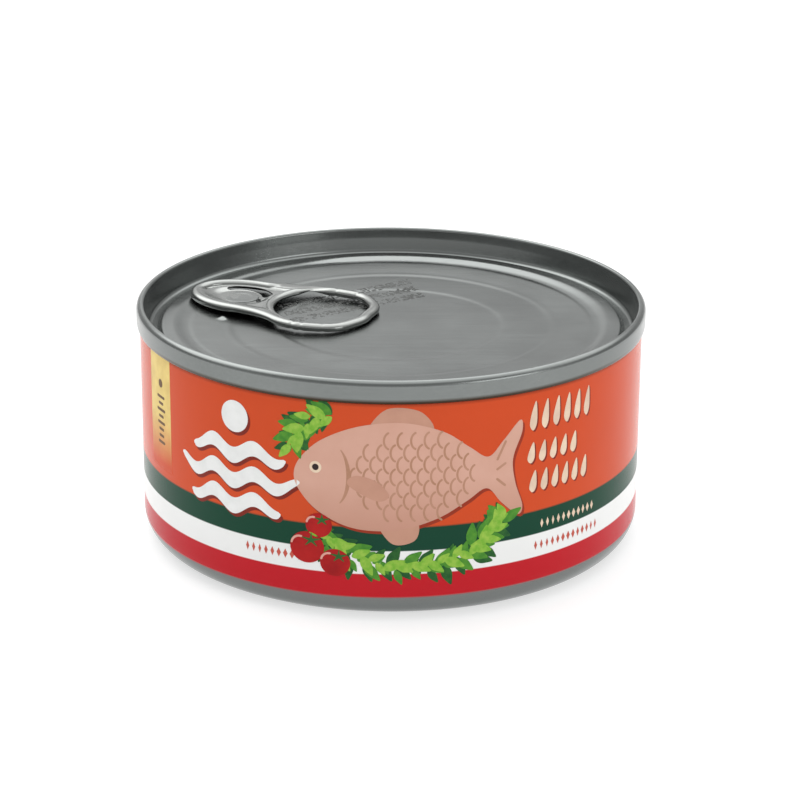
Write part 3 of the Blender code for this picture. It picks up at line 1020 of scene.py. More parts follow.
def press_panel(mesh, can, tab):
    """Presses the small stops beside the tab, lowers the rib behind the tab, and gives the panel its soft
    unevenness and a low rise round the rivet.
    """
    stops = [(*tab_place(tab, u * MM, v * MM), r * MM, h * MM) for u, v, r, h in PANEL_BUMPS]
    rivet = tab_place(tab, tab.rivet_at, 0.0)
    for vertex in mesh.vertices:
        x, y, z = vertex.co
        radius = hypot(x, y)
        if z < can.panel_z - 3 * can.panel_step or radius > 40.2 * MM:
            continue
        shallow = window(degrees(atan2(y, x)) % 360, *LOW_RIB)
        rib = min(eased((radius / MM - 34.6) / 2.6), eased((40.1 - radius / MM) / 0.9))
        z -= LOW_RIB_DEPTH * MM * shallow * rib
        vertex.co.z = z
        if radius > 33.9 * MM:
            continue
        lift = 0.0
        for bx, by, size, high in stops:
            lift += high * exp(-((hypot(x - bx, y - by) / size) ** 2) * 1.4)
        for bx, by, wide, deep, high in SOFT_DENTS:
            far = ((x / MM - bx) / wide) ** 2 + ((y / MM - by) / deep) ** 2
            lift += high * MM * exp(-far)
        away = hypot(x - rivet[0], y - rivet[1])
        lift += 0.12 * MM * eased((5.5 * MM - away) / (2.0 * MM))
        vertex.co.z = z + lift * eased((33.9 * MM - radius) / (1.5 * MM))


def paint_seam_shade(material, can):
    """Paints shade onto the seam's lowest outer edge, as a dark line where the seam tucks in against the
    wall.
    """
    tree = material.node_tree
    shader = tree.nodes["Principled BSDF"]
    place = add(tree, "ShaderNodeTexCoord").outputs["Object"]
    parts = add(tree, "ShaderNodeSeparateXYZ", {0: place}).outputs
    squares = (maths(tree, "POWER", parts[axis], 2.0) for axis in "XY")
    far = maths(tree, "SQRT", maths(tree, "ADD", *squares))
    low = between(tree, parts["Z"], can.seam_low + 0.2 * MM, can.seam_low + 0.75 * MM, 1.0, 0.0)
    out = maths(tree, "GREATER_THAN", far, can.seam_radius - 0.6 * MM)
    socket = shader.inputs["Base Color"]
    tin = socket.links[0].from_socket
    # Painted shade: the tin turns dark brown towards the seam's lowest edge, outside the wall's radius.
    mixed = add(
        tree,
        "ShaderNodeMix",
        {0: maths(tree, "MULTIPLY", low, out), 6: tin, 7: (0.05, 0.036, 0.024, 1.0)},
        data_type="RGBA",
    )
    tree.links.new(mixed.outputs[2], socket)


class FOODCAN_OT_lid(bpy.types.Operator):
    """Make the easy-open lid with its double seam"""

    bl_idname = "food_can.lid"
    bl_label = "Lid and seam"

    def execute(self, context):
        settings = context.scene.food_can
        material = tin_material("lid_tinplate", kit()["grain"], (0.193, 0.205, 0.200), 0.22, bump=0.022)
        # Painted shade on the seam's lowest outer edge.
        paint_seam_shade(material, settings.can)
        values = {"Segments": settings.can.turns, "Material": material}
        profile = profile_mesh(lid_profile(settings.can))
        lid = grown("lid_shell", profile, kit()["turned"], values)
        press_panel(lid.data, settings.can, settings.tab)
        shade(lid.data, radians(40))
        on_root(lid, "lid_tinplate", "lid")
        return {"FINISHED"}


# Pull tab

FLAT_SIDE = (15.6, 19.4, 24.6, 26.4)
NEAR_WAIST = (16.0, 19.0, 25.0, 29.0)
CRIMPS = (
    (13.7, 9.9), (12.2, 9.8), (7.1, 8.2), (14.7, -9.8), (10.4, -9.5), (8.6, 9.0), (4.4, -4.4),
)


def tab_half_line(tab, steps=16):
    """Crown line of the curl on one side, from the nose tip to the ring's end, as (u, v)."""
    nose_end, ring_start = radians(88), radians(62)
    nose = [nose_end * i / steps for i in range(steps + 1)]
    nose = [
        Vector((tab.nose_centre + tab.nose_length * cos(a), tab.nose_width * sin(a))) for a in nose
    ]
    ring = []
    for i in range(2 * steps + 1):
        a = ring_start + (pi - ring_start) * i / (2 * steps)
        across, along = sin(a), cos(a)
        if along < 0:
            across, along = abs(across) ** 0.83, -abs(along) ** 0.83
            along *= tab.ring_reach / tab.ring_radius
        ring.append(Vector((tab.ring_centre + tab.ring_radius * along, tab.ring_radius * across)))
    leave = Vector(
        (-tab.nose_length * sin(nose_end), tab.nose_width * cos(nose_end))
    ).normalized()
    join = Vector((-sin(ring_start), cos(ring_start)))
    reach = (ring[0] - nose[-1]).length / 2.6
    hold = [nose[-1], nose[-1] + leave * reach, ring[0] - join * reach, ring[0]]
    side = []
    for i in range(1, steps):
        t = i / steps
        weights = ((1 - t) ** 3, 3 * t * (1 - t) ** 2, 3 * t * t * (1 - t), t ** 3)
        side.append(sum((w * p for w, p in zip(weights, hold)), Vector((0, 0))))
    return nose + side + ring


def even(points, pitch):
    """Points at an even pitch along a closed line."""
    loop = points + [points[0]]
    spans = [(b - a).length for a, b in zip(loop, loop[1:])]
    total = sum(spans)
    number = int(total / pitch)
    made, at, k, start = [], 0.0, 0, 0.0
    for i in range(number):
        at = total * i / number
        while start + spans[k] < at:
            start += spans[k]
            k += 1
        made.append(loop[k].lerp(loop[k + 1], (at - start) / spans[k]))
    return made


def curl_mesh(tab, shell, sides=20):
    """The curled rim: flattened beside the waist on the far side, and crimped on the ring."""
    half = tab_half_line(tab)
    line = even(half + [Vector((p.x, -p.y)) for p in reversed(half[1:-1])], 0.2 * MM)
    crimps = [Vector(c) * MM for c in CRIMPS]
    loops = []
    number = len(line)
    for i, p in enumerate(line):
        way = (line[(i + 1) % number] - line[i - 1]).normalized()
        side = Vector((way.y, -way.x))
        if side.dot(p - Vector((tab.ring_centre * 1.3, 0))) < 0:
            side.negate()
        flat = window(p.x / MM, *FLAT_SIDE) if p.y < 0 else 0.0
        tuck = window(p.x / MM, *NEAR_WAIST) if p.y > 0 else 0.0
        end = eased((8.0 * MM - p.x) / (5.0 * MM))
        wide = tab.curl_width * (1 + 0.6 * flat + 0.04 * end)
        high = tab.curl_height * (1 - 0.75 * flat - 0.05 * end - 0.15 * tuck)
        centre = p + side * (1.35 * MM * flat)
        level = high + 0.46 * MM * flat + 0.35 * tab.curl_height * tuck
        pinch = max((exp(-(((p - c).length / (0.3 * MM)) ** 2)) for c in near(crimps, p)), default=0)
        wide *= 1 - 0.09 * pinch
        high *= 1 - 0.14 * pinch
        deep = 1.12 + 0.28 * eased((p.x / MM - 17.0) / 8.0)
        facet = 1 + 0.012 * sin(9 * atan2(p.y, p.x - tab.ring_centre)) * eased((16 * MM - p.x) / (4 * MM))
        centre = centre * 1.0 if facet == 1 else Vector(
            (tab.ring_centre + (centre.x - tab.ring_centre) * facet, centre.y * facet)
        )
        loop = []
        for k in range(sides):
            a = 2 * pi * k / sides
            reach, rise = cos(a), sin(a)
            if rise < 0:
                reach = copysign(abs(reach) ** 0.6, reach)
                rise = -(abs(rise) ** 0.6) * deep
            spot = centre + side * (wide * reach)
            loop.append(shell.verts.new((spot.x, spot.y, level + high * rise)))
        loops.append(loop)
    for i, loop in enumerate(loops):
        after = loops[(i + 1) % number]
        for k in range(sides):
            shell.faces.new((loop[k], after[k], after[(k + 1) % sides], loop[(k + 1) % sides]))
    return line


def near(points, p, reach=2.4 * MM):
    return [c for c in points if (c - p).length < reach]


def web_height(u, v, tab, line):
    """Height of the web over the curl's base: a groove along the far curl, a soft rise to the near
    one, pressed down round the rivet."""
    p = Vector((u, v))
    inside = min((p - q).length for q in line)
    far = eased((1.5 * MM - v) / (3.0 * MM))
    height = 0.5 * MM - 0.42 * MM * far * exp(-(((inside - 1.35 * MM) / (0.42 * MM)) ** 2))
    height += 0.4 * MM * (1 - far) * eased((2.6 * MM - inside) / (2.0 * MM))
    away = hypot((u - tab.rivet_at) / 1.15, v - 0.3 * MM)
    height -= 0.36 * MM * eased((4.9 * MM - away) / (1.5 * MM))
    centre_u, centre_v, half_u, half_v = (value * MM for value in HOLE)
    lip = hypot((u - centre_u) / half_u, (v - centre_v) / half_v)
    turn = degrees(atan2((v - centre_v) / half_v, (u - centre_u) / half_u))
    return height + 0.16 * MM * eased((1.3 - lip) / 0.2) * window(turn, -46, -20, 30, 62)


HOLE = (13.3, -0.9, 9.0, 9.9)
HOLE_ENDS = (radians(-58), radians(82))


def hole_point(a):
    """Point of the finger hole's edge, in the tab's own millimetres."""
    centre_u, centre_v, half_u, half_v = HOLE
    return (centre_u + half_u * cos(a), centre_v + half_v * sin(a))


def web_mesh(tab, line):
    """The sheet inside the curl, with the finger hole and the two slots beside the rivet."""
    far_end, near_end = HOLE_ENDS
    near_side, far_side = (
        [(p.x / MM, p.y / MM) for p in line[::3] if p.x / MM > hole_point(end)[0] and p.y * end > 0]
        for end in (near_end, far_end)
    )
    hole = [hole_point(near_end + (far_end - near_end) * i / 60) for i in range(61)]
    rim = near_side + hole + far_side
    rivet = tab.rivet_at / MM
    angles = [pi + radians(30 + 114 * i / 18) for i in range(19)]
    middle = [(rivet + 4.6 * cos(a), 4.1 * sin(a)) for a in angles]
    slot = ribbon(middle, lambda t: 1.9 - 1.0 * t, 4)
    notch = ribbon([(25.2, 0.2), (24.95, 0.6), (24.85, 1.1)], 0.8, 4)
    mesh = flat_print([rim, slot, notch], thick=0.24, pitch=0.4)
    shell = bmesh.new()
    shell.from_mesh(mesh)
    bpy.data.meshes.remove(mesh)
    ys = [v.co.y for v in shell.verts]
    for k in range(ceil(min(ys) / 0.4), int(max(ys) / 0.4) + 1):
        bmesh.ops.bisect_plane(
            shell,
            geom=shell.verts[:] + shell.edges[:] + shell.faces[:],
            plane_co=(0, k * 0.4, 0),
            plane_no=(0, 1, 0),
        )
    for vertex in shell.verts:
        u, v, h = vertex.co * MM
        vertex.co = (u, v, h + 0.12 * MM + web_height(u, v, tab, line))
    return shell


def bar_mesh(shell, sides=14, steps=90):
    """The rolled lip on the finger hole's edge nearest the rivet."""
    _, _, half_u, half_v = HOLE
    far_end, near_end = HOLE_ENDS
    loops = []
    for i in range(steps + 1):
        a = far_end + (near_end - far_end) * i / steps
        p = Vector(hole_point(a)) * MM
        side = Vector((cos(a) / half_u, sin(a) / half_v)).normalized()
        taper = min(1.0, 0.05 + eased(i / 20.0), 0.05 + eased((steps - i) / 8.0))
        full = 1 - 0.35 * eased(i / steps)
        wide, high = 0.95 * MM * taper * full, 0.62 * MM * taper * full
        loop = []
        for k in range(sides):
            b = 2 * pi * k / sides
            spot = p + side * (wide * cos(b))
            loop.append(shell.verts.new((spot.x, spot.y, 0.66 * MM + high * sin(b))))
        loops.append(loop)
    for loop, after in zip(loops, loops[1:]):
        for k in range(sides):
            shell.faces.new((loop[k], after[k], after[(k + 1) % sides], loop[(k + 1) % sides]))
    shell.faces.new(loops[0])
    shell.faces.new(list(reversed(loops[-1])))


def tab_matrix(tab):
    """From the tab's own frame, in which u and v are measured from the lid's centre, to the row's."""
    x, y = tab_place(tab, tab.rivet_at, 0.0)
    back = Matrix.Translation((-tab.rivet_at, 0, 0))
    lean = Matrix.Rotation(-tab.pitch, 4, "Y")
    turn = Matrix.Rotation(tab.yaw, 4, "Z")
    return Matrix.Translation((x, y, tab.curl_base)) @ turn @ lean @ back


def solid(name, shell):
    bmesh.ops.recalc_face_normals(shell, faces=shell.faces)
    mesh = bpy.data.meshes.new(name)
    shell.to_mesh(mesh)
    shell.free()
    return mesh


def unite(piece, other):
    """Joins another closed mesh into the piece."""
    bpy.context.view_layer.update()
    union = piece.modifiers.new("Join", "BOOLEAN")
    union.operation = "UNION"
    union.solver = "MANIFOLD"
    union.object = other
    graph = bpy.context.evaluated_depsgraph_get()
    mesh = bpy.data.meshes.new_from_object(piece.evaluated_get(graph))
    piece.modifiers.remove(union)
    piece.data = mesh
    bpy.data.objects.remove(other, do_unlink=True)


def darken_below(material):
    """Darkens what faces down, where the curl's open fold lies in shadow."""
    tree = material.node_tree
    socket = tree.nodes["Principled BSDF"].inputs["Base Color"]
    up = add(tree, "ShaderNodeSeparateXYZ", {0: add(tree, "ShaderNodeNewGeometry").outputs["Normal"]})
    light = between(tree, up.outputs["Z"], -0.75, -0.4, 0.1, 1.0)
    tree.links.new(times(tree, socket.links[0].from_socket, light), socket)


class FOODCAN_OT_pull_tab(bpy.types.Operator):
    """Make the ring-pull tab with its curled rim and web"""

    bl_idname = "food_can.pull_tab"
    bl_label = "Pull tab"

    def execute(self, context):
        settings = context.scene.food_can
        tab = settings.tab
        shell = bmesh.new()
        line = curl_mesh(tab, shell)
        piece = new_piece("ring_pull", solid("ring_pull", shell))
        unite(piece, new_piece("web", solid("web", web_mesh(tab, line))))
        shell = bmesh.new()
        bar_mesh(shell)
        unite(piece, new_piece("lip", solid("lip", shell)))
        piece.data.transform(tab_matrix(tab))
        face_out(piece.data)
        material = tin_material(
            "tab_tinplate", kit()["grain"], (0.29, 0.30, 0.29), 0.2, lines=3500.0
        )
        piece.data.materials.clear()
        piece.data.materials.append(material)
        shade(piece.data, radians(38))
        darken_below(material)
        on_root(piece, "tab_tinplate", "pull_tab")
        return {"FINISHED"}


class FOODCAN_OT_rivet(bpy.types.Operator):
    """Make the flat rivet head that holds the tab"""

    bl_idname = "food_can.rivet"
    bl_label = "Rivet head"

    def execute(self, context):
        settings = context.scene.food_can
        tab = settings.tab
        radius, top = tab.rivet_radius, 0.44 * MM
        points = [(0.0, top - 0.05 * MM), (radius * 0.55, top - 0.05 * MM)]
        points += [(radius * 0.62, top - 0.01 * MM), (radius * 0.9, top)]
        points += arc(radius - 0.1 * MM, top - 0.1 * MM, 0.1 * MM, 0.1 * MM, 90, 0, 4)
        points += [(radius, top - 0.2 * MM), (2.0 * MM, top - 0.2 * MM), (2.0 * MM, -0.75 * MM)]
        points += [(0.0, -0.75 * MM)]
        material = tin_material("rivet_tinplate", kit()["grain"], (0.20, 0.21, 0.205), 0.3)
        values = {"Segments": 96, "Material": material}
        rivet = grown("rivet_head", profile_mesh(dense(points, 0.3 * MM)), kit()["turned"], values)
        x, y = tab_place(tab, tab.rivet_at, 0.3 * MM)
        rivet.data.transform(Matrix.Translation((x, y, tab.curl_base)))
        shade(rivet.data, radians(40))
        on_root(rivet, "lid_tinplate")
        return {"FINISHED"}


class FOODCAN_OT_lid_code(bpy.types.Operator):
    """Spray the lines of small dots onto the lid"""

    bl_idname = "food_can.lid_code"
    bl_label = "Sprayed dots"

    def execute(self, context):
        settings = context.scene.food_can
        can = settings.can
        material, tree, shader, place = new_material("dot_ink", Roughness=0.5)
        noise = add(tree, "ShaderNodeTexNoise", {"Vector": place, "Scale": 1800.0, "Detail": 2.0})
        shader.inputs["Specular IOR Level"].default_value = 0.3
        ink = ramp(tree, noise.outputs[0], [(0.3, (0.045, 0.048, 0.045)), (0.7, (0.08, 0.084, 0.08))])
        tree.links.new(ink, shader.inputs["Base Color"])
        shell = bmesh.new()
        bmesh.ops.create_cone(
            shell, cap_ends=True, segments=8, radius1=0.25 * MM, radius2=0.22 * MM, depth=0.02 * MM
        )
        values = {
            "Columns": 66,
            "Dots Up": 6,
            "Lines": 3,
            "Cell": 500,
            "Pitch": 0.42 * MM,
            "Line Gap": 1.3 * MM,
            "Start": (-16.9 * MM, 0.4 * MM, 0.0),
            "Along": (0.83, 0.56, 0.0),
            "Across": (-0.30, 0.95, 0.0),
            "Share": 0.52,
            "Scatter": 0.06 * MM,
            "Panel Height": can.panel_z - 2 * can.panel_step,
            "Panel Step": can.panel_step,
            "Seed": 5,
            "Material": material,
        }
        dots = grown("sprayed_dots", solid("dot", shell), kit()["dots"], values)
        on_root(dots, "lid_tinplate")
        return {"FINISHED"}


# Print


def wave_line(start, end, height, rise, wavelength, steps=48):
    places = [start + (end - start) * i / steps for i in range(steps + 1)]
    return [(x, height + rise * sin(2 * pi * x / wavelength)) for x in places]


class FOODCAN_OT_emblem(bpy.types.Operator):
    """Print the white sun and waves with their drop shadow"""

    bl_idname = "food_can.emblem"
    bl_label = "Wave emblem"

    def execute(self, context):
        settings = context.scene.food_can
        look, grain = settings.print, kit()["grain"]
        waves = [
            wave_line(-36.2, -17.2, 26.6, 0.95, 8.4),
            wave_line(-39.4, -14.8, 22.2, 0.95, 8.4),
            wave_line(-37.0, -18.2, 17.8, 0.95, 8.4),
        ]
        strokes = [band(line, lambda t: 0.3 + 2.5 * sin(pi * t) ** 0.4) for line in waves]
        shapes = strokes + [disc(-26.8, 32.4, 2.7, 40)]
        shade_ink = ink_material("shadow_ink", grain, tuple(look.shade))
        white_ink = ink_material("white_ink", grain, tuple(look.white), (0.74, 0.75, 0.74))
        wrapped("emblem_shadow", films(moved(shapes, 0.45, -0.5)), shade_ink, 0.004, settings)
        wrapped("wave_emblem", films(shapes), white_ink, 0.018, settings)
        return {"FINISHED"}


class FOODCAN_OT_gold_panel(bpy.types.Operator):
    """Print the gold panel at the side with its small brown marks"""

    bl_idname = "food_can.gold_panel"
    bl_label = "Gold panel"

    def execute(self, context):
        settings = context.scene.food_can
        look, grain = settings.print, kit()["grain"]
        fade = (18.5 * MM, 27.0 * MM, tuple(look.orange))
        gold = ink_material("gold_ink", grain, tuple(look.gold), (0.66, 0.48, 0.15), fade=fade)
        box = [(-51.3, 17.6), (-43.3, 17.6), (-43.3, 37.6), (-51.3, 37.6)]
        wrapped("gold_panel", flat_print([box]), gold, 0.004, settings)
        brown = ink_material("brown_ink", grain, (0.13, 0.06, 0.02))
        mark = flat_print([ribbon([(-1.5, 0), (0, 0), (1.5, 0)], 0.5, 4)])
        values = {
            "Columns": 1,
            "Rows": 8,
            "Row Gap": 1.15,
            "Centre": (-46.9, 26.2, 0.0),
            "Least Width": 0.45,
            "Seed": 4,
        }
        wall_marks("gold_panel_bars", mark, "rows", values, brown, 0.018, settings)
        drop = flat_print([disc(-46.9, 32.6, 0.75, 20)])
        wrapped("gold_panel_dot", drop, brown, 0.018, settings)
        return {"FINISHED"}


FISH = [
    (-15.8, 24.6), (-14.6, 27.6), (-11.0, 31.0), (-5.0, 33.6), (2.0, 34.3), (8.4, 32.6),
    (12.8, 29.6), (16.0, 27.6), (18.6, 30.0), (21.6, 33.0), (22.0, 31.0), (20.4, 26.6),
    (20.9, 22.4), (22.3, 18.2), (21.4, 16.8), (18.4, 19.4), (15.8, 22.2), (12.4, 20.4),
    (7.6, 17.8), (1.0, 16.0), (-6.0, 16.2), (-11.6, 18.6), (-14.8, 21.8),
]


class FOODCAN_OT_fish(bpy.types.Operator):
    """Print the pale pink fish with its scales, fins and gill"""

    bl_idname = "food_can.fish"
    bl_label = "Printed fish"

    def execute(self, context):
        settings = context.scene.food_can
        look, grain = settings.print, kit()["grain"]
        pink = tuple(look.flesh)
        dark = (0.50, 0.26, 0.19)
        flesh = ink_material("flesh_ink", grain, pink, (0.59, 0.335, 0.255), 160.0,
                             fade=(15.0 * MM, 24.0 * MM, dark))
        line = ink_material("scale_ink", grain, (0.40, 0.21, 0.13), (0.46, 0.25, 0.17))
        shadow = ink_material("fish_shadow_ink", grain, (0.30, 0.035, 0.014))
        body = spline_through(FISH, 8)
        wrapped("fish_shadow", flat_print(moved([body], 0.4, -0.5)), shadow, 0.004, settings)
        wrapped("fish_body", flat_print([body]), flesh, 0.018, settings)
        scale = flat_print([ribbon(
            [(1.05 * cos(radians(a)), 1.45 * sin(radians(a))) for a in range(110, 251, 14)], 0.34, 4
        )])
        values = {
            "Columns": 11,
            "Rows": 7,
            "Pitch": 2.15,
            "Row Gap": 2.05,
            "Shift Odd Rows": 1.07,
            "Centre": (4.3, 25.1, 0.0),
            "Keep Half Width": 10.0,
            "Keep Half Height": 7.4,
        }
        wall_marks("fish_scales", scale, "rows", values, line, 0.032, settings)
        gill = ribbon([(-9.3 + 2.6 * cos(radians(a)), 25.0 + 5.2 * sin(radians(a)))
                       for a in range(-62, 63, 6)], lambda t: 0.16 + 0.5 * sin(pi * t), 4)
        lateral = [ribbon(spline_through([(17.6, 25.2 + d), (19.0, 26.0 + 2.2 * d)], 6, False), 0.4, 4)
                   for d in (-1.7, 0.0, 1.7)]
        top = spline_through([(-3.5, 32.9), (-0.6, 36.6), (4.6, 36.2), (6.8, 33.0), (1.4, 33.6)], 8)
        low = spline_through([(-2.0, 17.2), (0.4, 13.6), (4.0, 14.2), (4.4, 17.2), (1.0, 17.6)], 8)
        side = spline_through([(-6.8, 23.6), (-2.2, 21.0), (-0.2, 22.0), (-2.4, 24.4), (-5.6, 25.2)], 8)
        fin = ink_material("fin_ink", grain, (0.52, 0.28, 0.20), (0.49, 0.26, 0.185))
        wrapped("fish_fins", flat_print([top, low]), fin, 0.011, settings)
        wrapped("fish_side_fin", flat_print([side]), fin, 0.045, settings)
        wrapped("fish_gill", flat_print([gill, *lateral]), line, 0.032, settings)
        eye = ink_material("eye_ink", grain, (0.03, 0.02, 0.02))
        rim = ink_material("eye_rim_ink", grain, tuple(look.cream))
        wrapped("fish_eye_rim", flat_print([disc(-12.1, 26.2, 1.0, 24)]), rim, 0.032, settings)
        wrapped("fish_eye", flat_print([disc(-12.1, 26.2, 0.55, 20)]), eye, 0.046, settings)
        return {"FINISHED"}


LEAF = [(0, 0), (0.8, 0.75), (1.9, 0.95), (3.0, 0.62), (4.1, 0), (3.0, -0.62), (1.9, -0.95), (0.8, -0.75)]


class FOODCAN_OT_garland(bpy.types.Operator):
    """Print the leaf garland in three greens and the round red fruits"""

    bl_idname = "food_can.garland"
    bl_label = "Leaves and fruits"

    def execute(self, context):
        settings = context.scene.food_can
        look, grain = settings.print, kit()["grain"]
        bright = tuple(look.leaf)
        greens = [
            ("leaves_dark", (0.012, 0.075, 0.022), (0.03, 0.13, 0.025), 34, 1.05, 0.024, 3),
            ("leaves_mid", (0.05, 0.21, 0.025), (0.09, 0.28, 0.03), 34, 0.8, 0.038, 11),
            ("leaves_light", bright, (0.30, 0.50, 0.07), 30, 0.6, 0.052, 21),
        ]
        for name, tint, other, leaves, spread, lift, seed in greens:
            ink = ink_material(name + "_ink", grain, tint, other, 900.0)
            for part, centre, sizes, turns in (
                ("low", (3.0, 18.0, 0.0), (15.5, 8.4), (radians(196), radians(352))),
                ("high", (-8.6, 29.0, 0.0), (7.4, 6.2), (radians(176), radians(96))),
            ):
                low = part == "low"
                values = {
                    "Leaves": leaves if low else leaves // 3,
                    "Centre": centre,
                    "Half Width": sizes[0],
                    "Half Height": sizes[1],
                    "From": turns[0],
                    "To": turns[1],
                    "Spread": spread,
                    "Smallest": 0.55,
                    "Scatter": 1.1 if low else 0.6,
                    "Seed": seed,
                }
                leaf = flat_print([spline_through(LEAF, 4)], thick=0.01, pitch=1.5)
                wall_marks(f"{name}_{part}", leaf, "garland", values, ink, lift, settings)
        fruit = ink_material("fruit_ink", grain, tuple(look.fruit), (0.30, 0.008, 0.010), 260.0)
        shine = ink_material("fruit_shine_ink", grain, (0.70, 0.36, 0.30))
        calyx = ink_material("calyx_ink", grain, (0.03, 0.13, 0.03))
        spots = [(-13.6, 12.2, 2.9), (-8.9, 10.0, 2.5), (-11.6, 16.2, 2.2)]
        wrapped("fruits", flat_print([disc(x, y, r, 36, 0.94) for x, y, r in spots]), fruit, 0.066, settings)
        glints = [ribbon([(x - 0.42 * r + 0.5 * r * cos(radians(a)), y + 0.12 * r + 0.5 * r * sin(radians(a)))
                          for a in range(80, 171, 15)], 0.36, 4) for x, y, r in spots]
        wrapped("fruit_glints", flat_print(glints), shine, 0.082, settings)
        caps = []
        for x, y, r in spots:
            for k in range(5):
                a = radians(90 + 72 * k)
                tip = (x + 0.25 * r + 0.55 * r * cos(a), y + 0.45 * r + 0.4 * r * sin(a))
                caps.append(ribbon([(x + 0.25 * r, y + 0.45 * r),
                                    ((x + 0.25 * r + tip[0]) / 2, (y + 0.45 * r + tip[1]) / 2), tip],
                                   lambda t: 0.55 * (1 - 0.75 * t), 3))
        for k in range(5):
            wrapped(f"fruit_caps_{k}", flat_print(caps[k::5]), calyx, 0.082 + 0.004 * k, settings)
        return {"FINISHED"}


class FOODCAN_OT_drops(bpy.types.Operator):
    """Print the rows of cream drops and the small marks on the stripes"""

    bl_idname = "food_can.drops"
    bl_label = "Drops and small marks"

    def execute(self, context):
        settings = context.scene.food_can
        look, grain = settings.print, kit()["grain"]
        cream = ink_material("cream_ink", grain, tuple(look.cream), (0.66, 0.50, 0.38))
        shade_ink = ink_material("drop_shadow_ink", grain, tuple(look.shade))
        rows = [(30.0, 33.2, 6, 2.35, 2.5), (28.3, 26.9, 5, 2.25, 1.8), (29.9, 21.9, 6, 2.25, 1.9)]
        for k, (x, y, columns, pitch, tall) in enumerate(rows):
            shape = spline_through(
                [(0.45, tall), (0.72, 0.1 * tall), (0.62, -0.62 * tall), (0.0, -tall),
                 (-0.66, -0.62 * tall), (-0.42, 0.1 * tall)], 6)
            values = {"Columns": columns, "Rows": 1, "Pitch": pitch}
            for name, ink, lift, dx in (
                ("drop_shadows", shade_ink, 0.004, 0.28), ("drops", cream, 0.018, 0.0)
            ):
                spot = {"Centre": (x + dx, y - dx, 0.0), **values}
                wall_marks(f"{name}_{k}", flat_print([shape]), "rows", spot, ink, lift, settings)
        diamond = [(-0.42, 0), (0, 0.8), (0.42, 0), (0, -0.8)]
        red = ink_material("small_mark_ink", grain, (0.52, 0.10, 0.07))
        for name, centre, columns, ink in (
            ("green_band_marks", (32.2, 14.2, 0.0), 11, cream),
            ("white_band_marks_right", (32.2, 10.5, 0.0), 13, red),
            ("white_band_marks_left", (-18.6, 10.5, 0.0), 11, red),
        ):
            values = {"Columns": columns, "Rows": 1, "Pitch": 1.18, "Centre": centre, "Least Width": 0.6}
            wall_marks(name, flat_print([diamond]), "rows", values, ink, 0.01, settings)
        return {"FINISHED"}


# Stage


def levels(tree, value, *stops):
    """A grey ramp with (place, level) stops. A level may be over 1."""
    return ramp(tree, value, [(place, (level,) * 3) for place, level in stops])


def blend(tree, share, first, second):
    return add(tree, "ShaderNodeMix", {0: share, 2: first, 3: second}, data_type="FLOAT").outputs[0]


def make_world(studio):
    """White surround: bright overhead and at the back left, darker on the camera's side."""
    world = bpy.data.worlds.new("studio")
    bpy.context.scene.world = world
    world.use_nodes = True
    tree = world.node_tree
    back = tree.nodes["Background"]
    way = add(tree, "ShaderNodeTexCoord").outputs["Generated"]
    parts = add(tree, "ShaderNodeSeparateXYZ", {0: way}).outputs
    high = parts["Z"]
    behind = levels(
        tree, high,
        (0.0, 0.85), (0.25, 0.68), (0.37, 0.72), (0.47, 1.3), (0.58, 2.9), (0.85, 2.8), (1.0, 1.8),
    )
    before = levels(
        tree, high, (0.0, 0.95), (0.12, 0.9), (0.25, 0.62), (0.7, 0.5), (0.85, 0.9), (1.0, 1.8)
    )
    across = between(tree, parts["X"], -1.0, 1.0, 0.0, 1.0)
    low_turn = levels(
        tree, across,
        (0.0, 0.7), (0.3, 0.72), (0.36, 0.95), (0.42, 1.5), (0.465, 1.3),
        (0.495, 1.0), (0.56, 0.9), (0.7, 0.75), (1.0, 0.7),
    )
    high_turn = levels(tree, across, (0.0, 0.7), (0.3, 1.0), (0.55, 1.0), (0.7, 0.8), (1.0, 0.6))
    turn = blend(tree, between(tree, high, 0.35, 0.5, 0.0, 1.0), low_turn, high_turn)
    side = between(tree, parts["Y"], -0.3, 0.4, 0.0, 1.0)
    strength = blend(tree, side, before, maths(tree, "MULTIPLY", behind, turn))
    back.inputs["Color"].default_value = (1.0, 1.0, 1.0, 1.0)
    tree.links.new(maths(tree, "MULTIPLY", strength, studio.surround), back.inputs["Strength"])


def make_lamp(name, place, aim, size, power):
    lamp = bpy.data.lights.new(name, "AREA")
    lamp.shape = "RECTANGLE"
    lamp.size, lamp.size_y = size
    lamp.energy = power
    obj = bpy.data.objects.new(name, lamp)
    bpy.context.scene.collection.objects.link(obj)
    obj.location = place
    obj.rotation_mode = "QUATERNION"
    obj.rotation_quaternion = (Vector(aim) - Vector(place)).to_track_quat("-Z", "Y")
    return obj


def make_floor():
    mesh = bpy.data.meshes.new("studio_floor")
    side = 3.0
    shell = bmesh.new()
    bmesh.ops.create_grid(shell, x_segments=12, y_segments=12, size=side)
    shell.to_mesh(mesh)
    shell.free()
    floor = new_piece("studio_floor", mesh)
    material, tree, shader, place = new_material("white_paper", Roughness=0.85)
    shader.inputs["Emission Color"].default_value = (1.0, 1.0, 1.0, 1.0)
    shader.inputs["Emission Strength"].default_value = 0.62
    fibres = add(tree, "ShaderNodeTexNoise", {"Vector": place, "Scale": 900.0, "Detail": 3.0})
    tint = ramp(tree, fibres.outputs[0], [(0.3, (0.43, 0.43, 0.43)), (0.7, (0.46, 0.46, 0.46))])
    tree.links.new(tint, shader.inputs["Base Color"])
    mesh.materials.append(material)


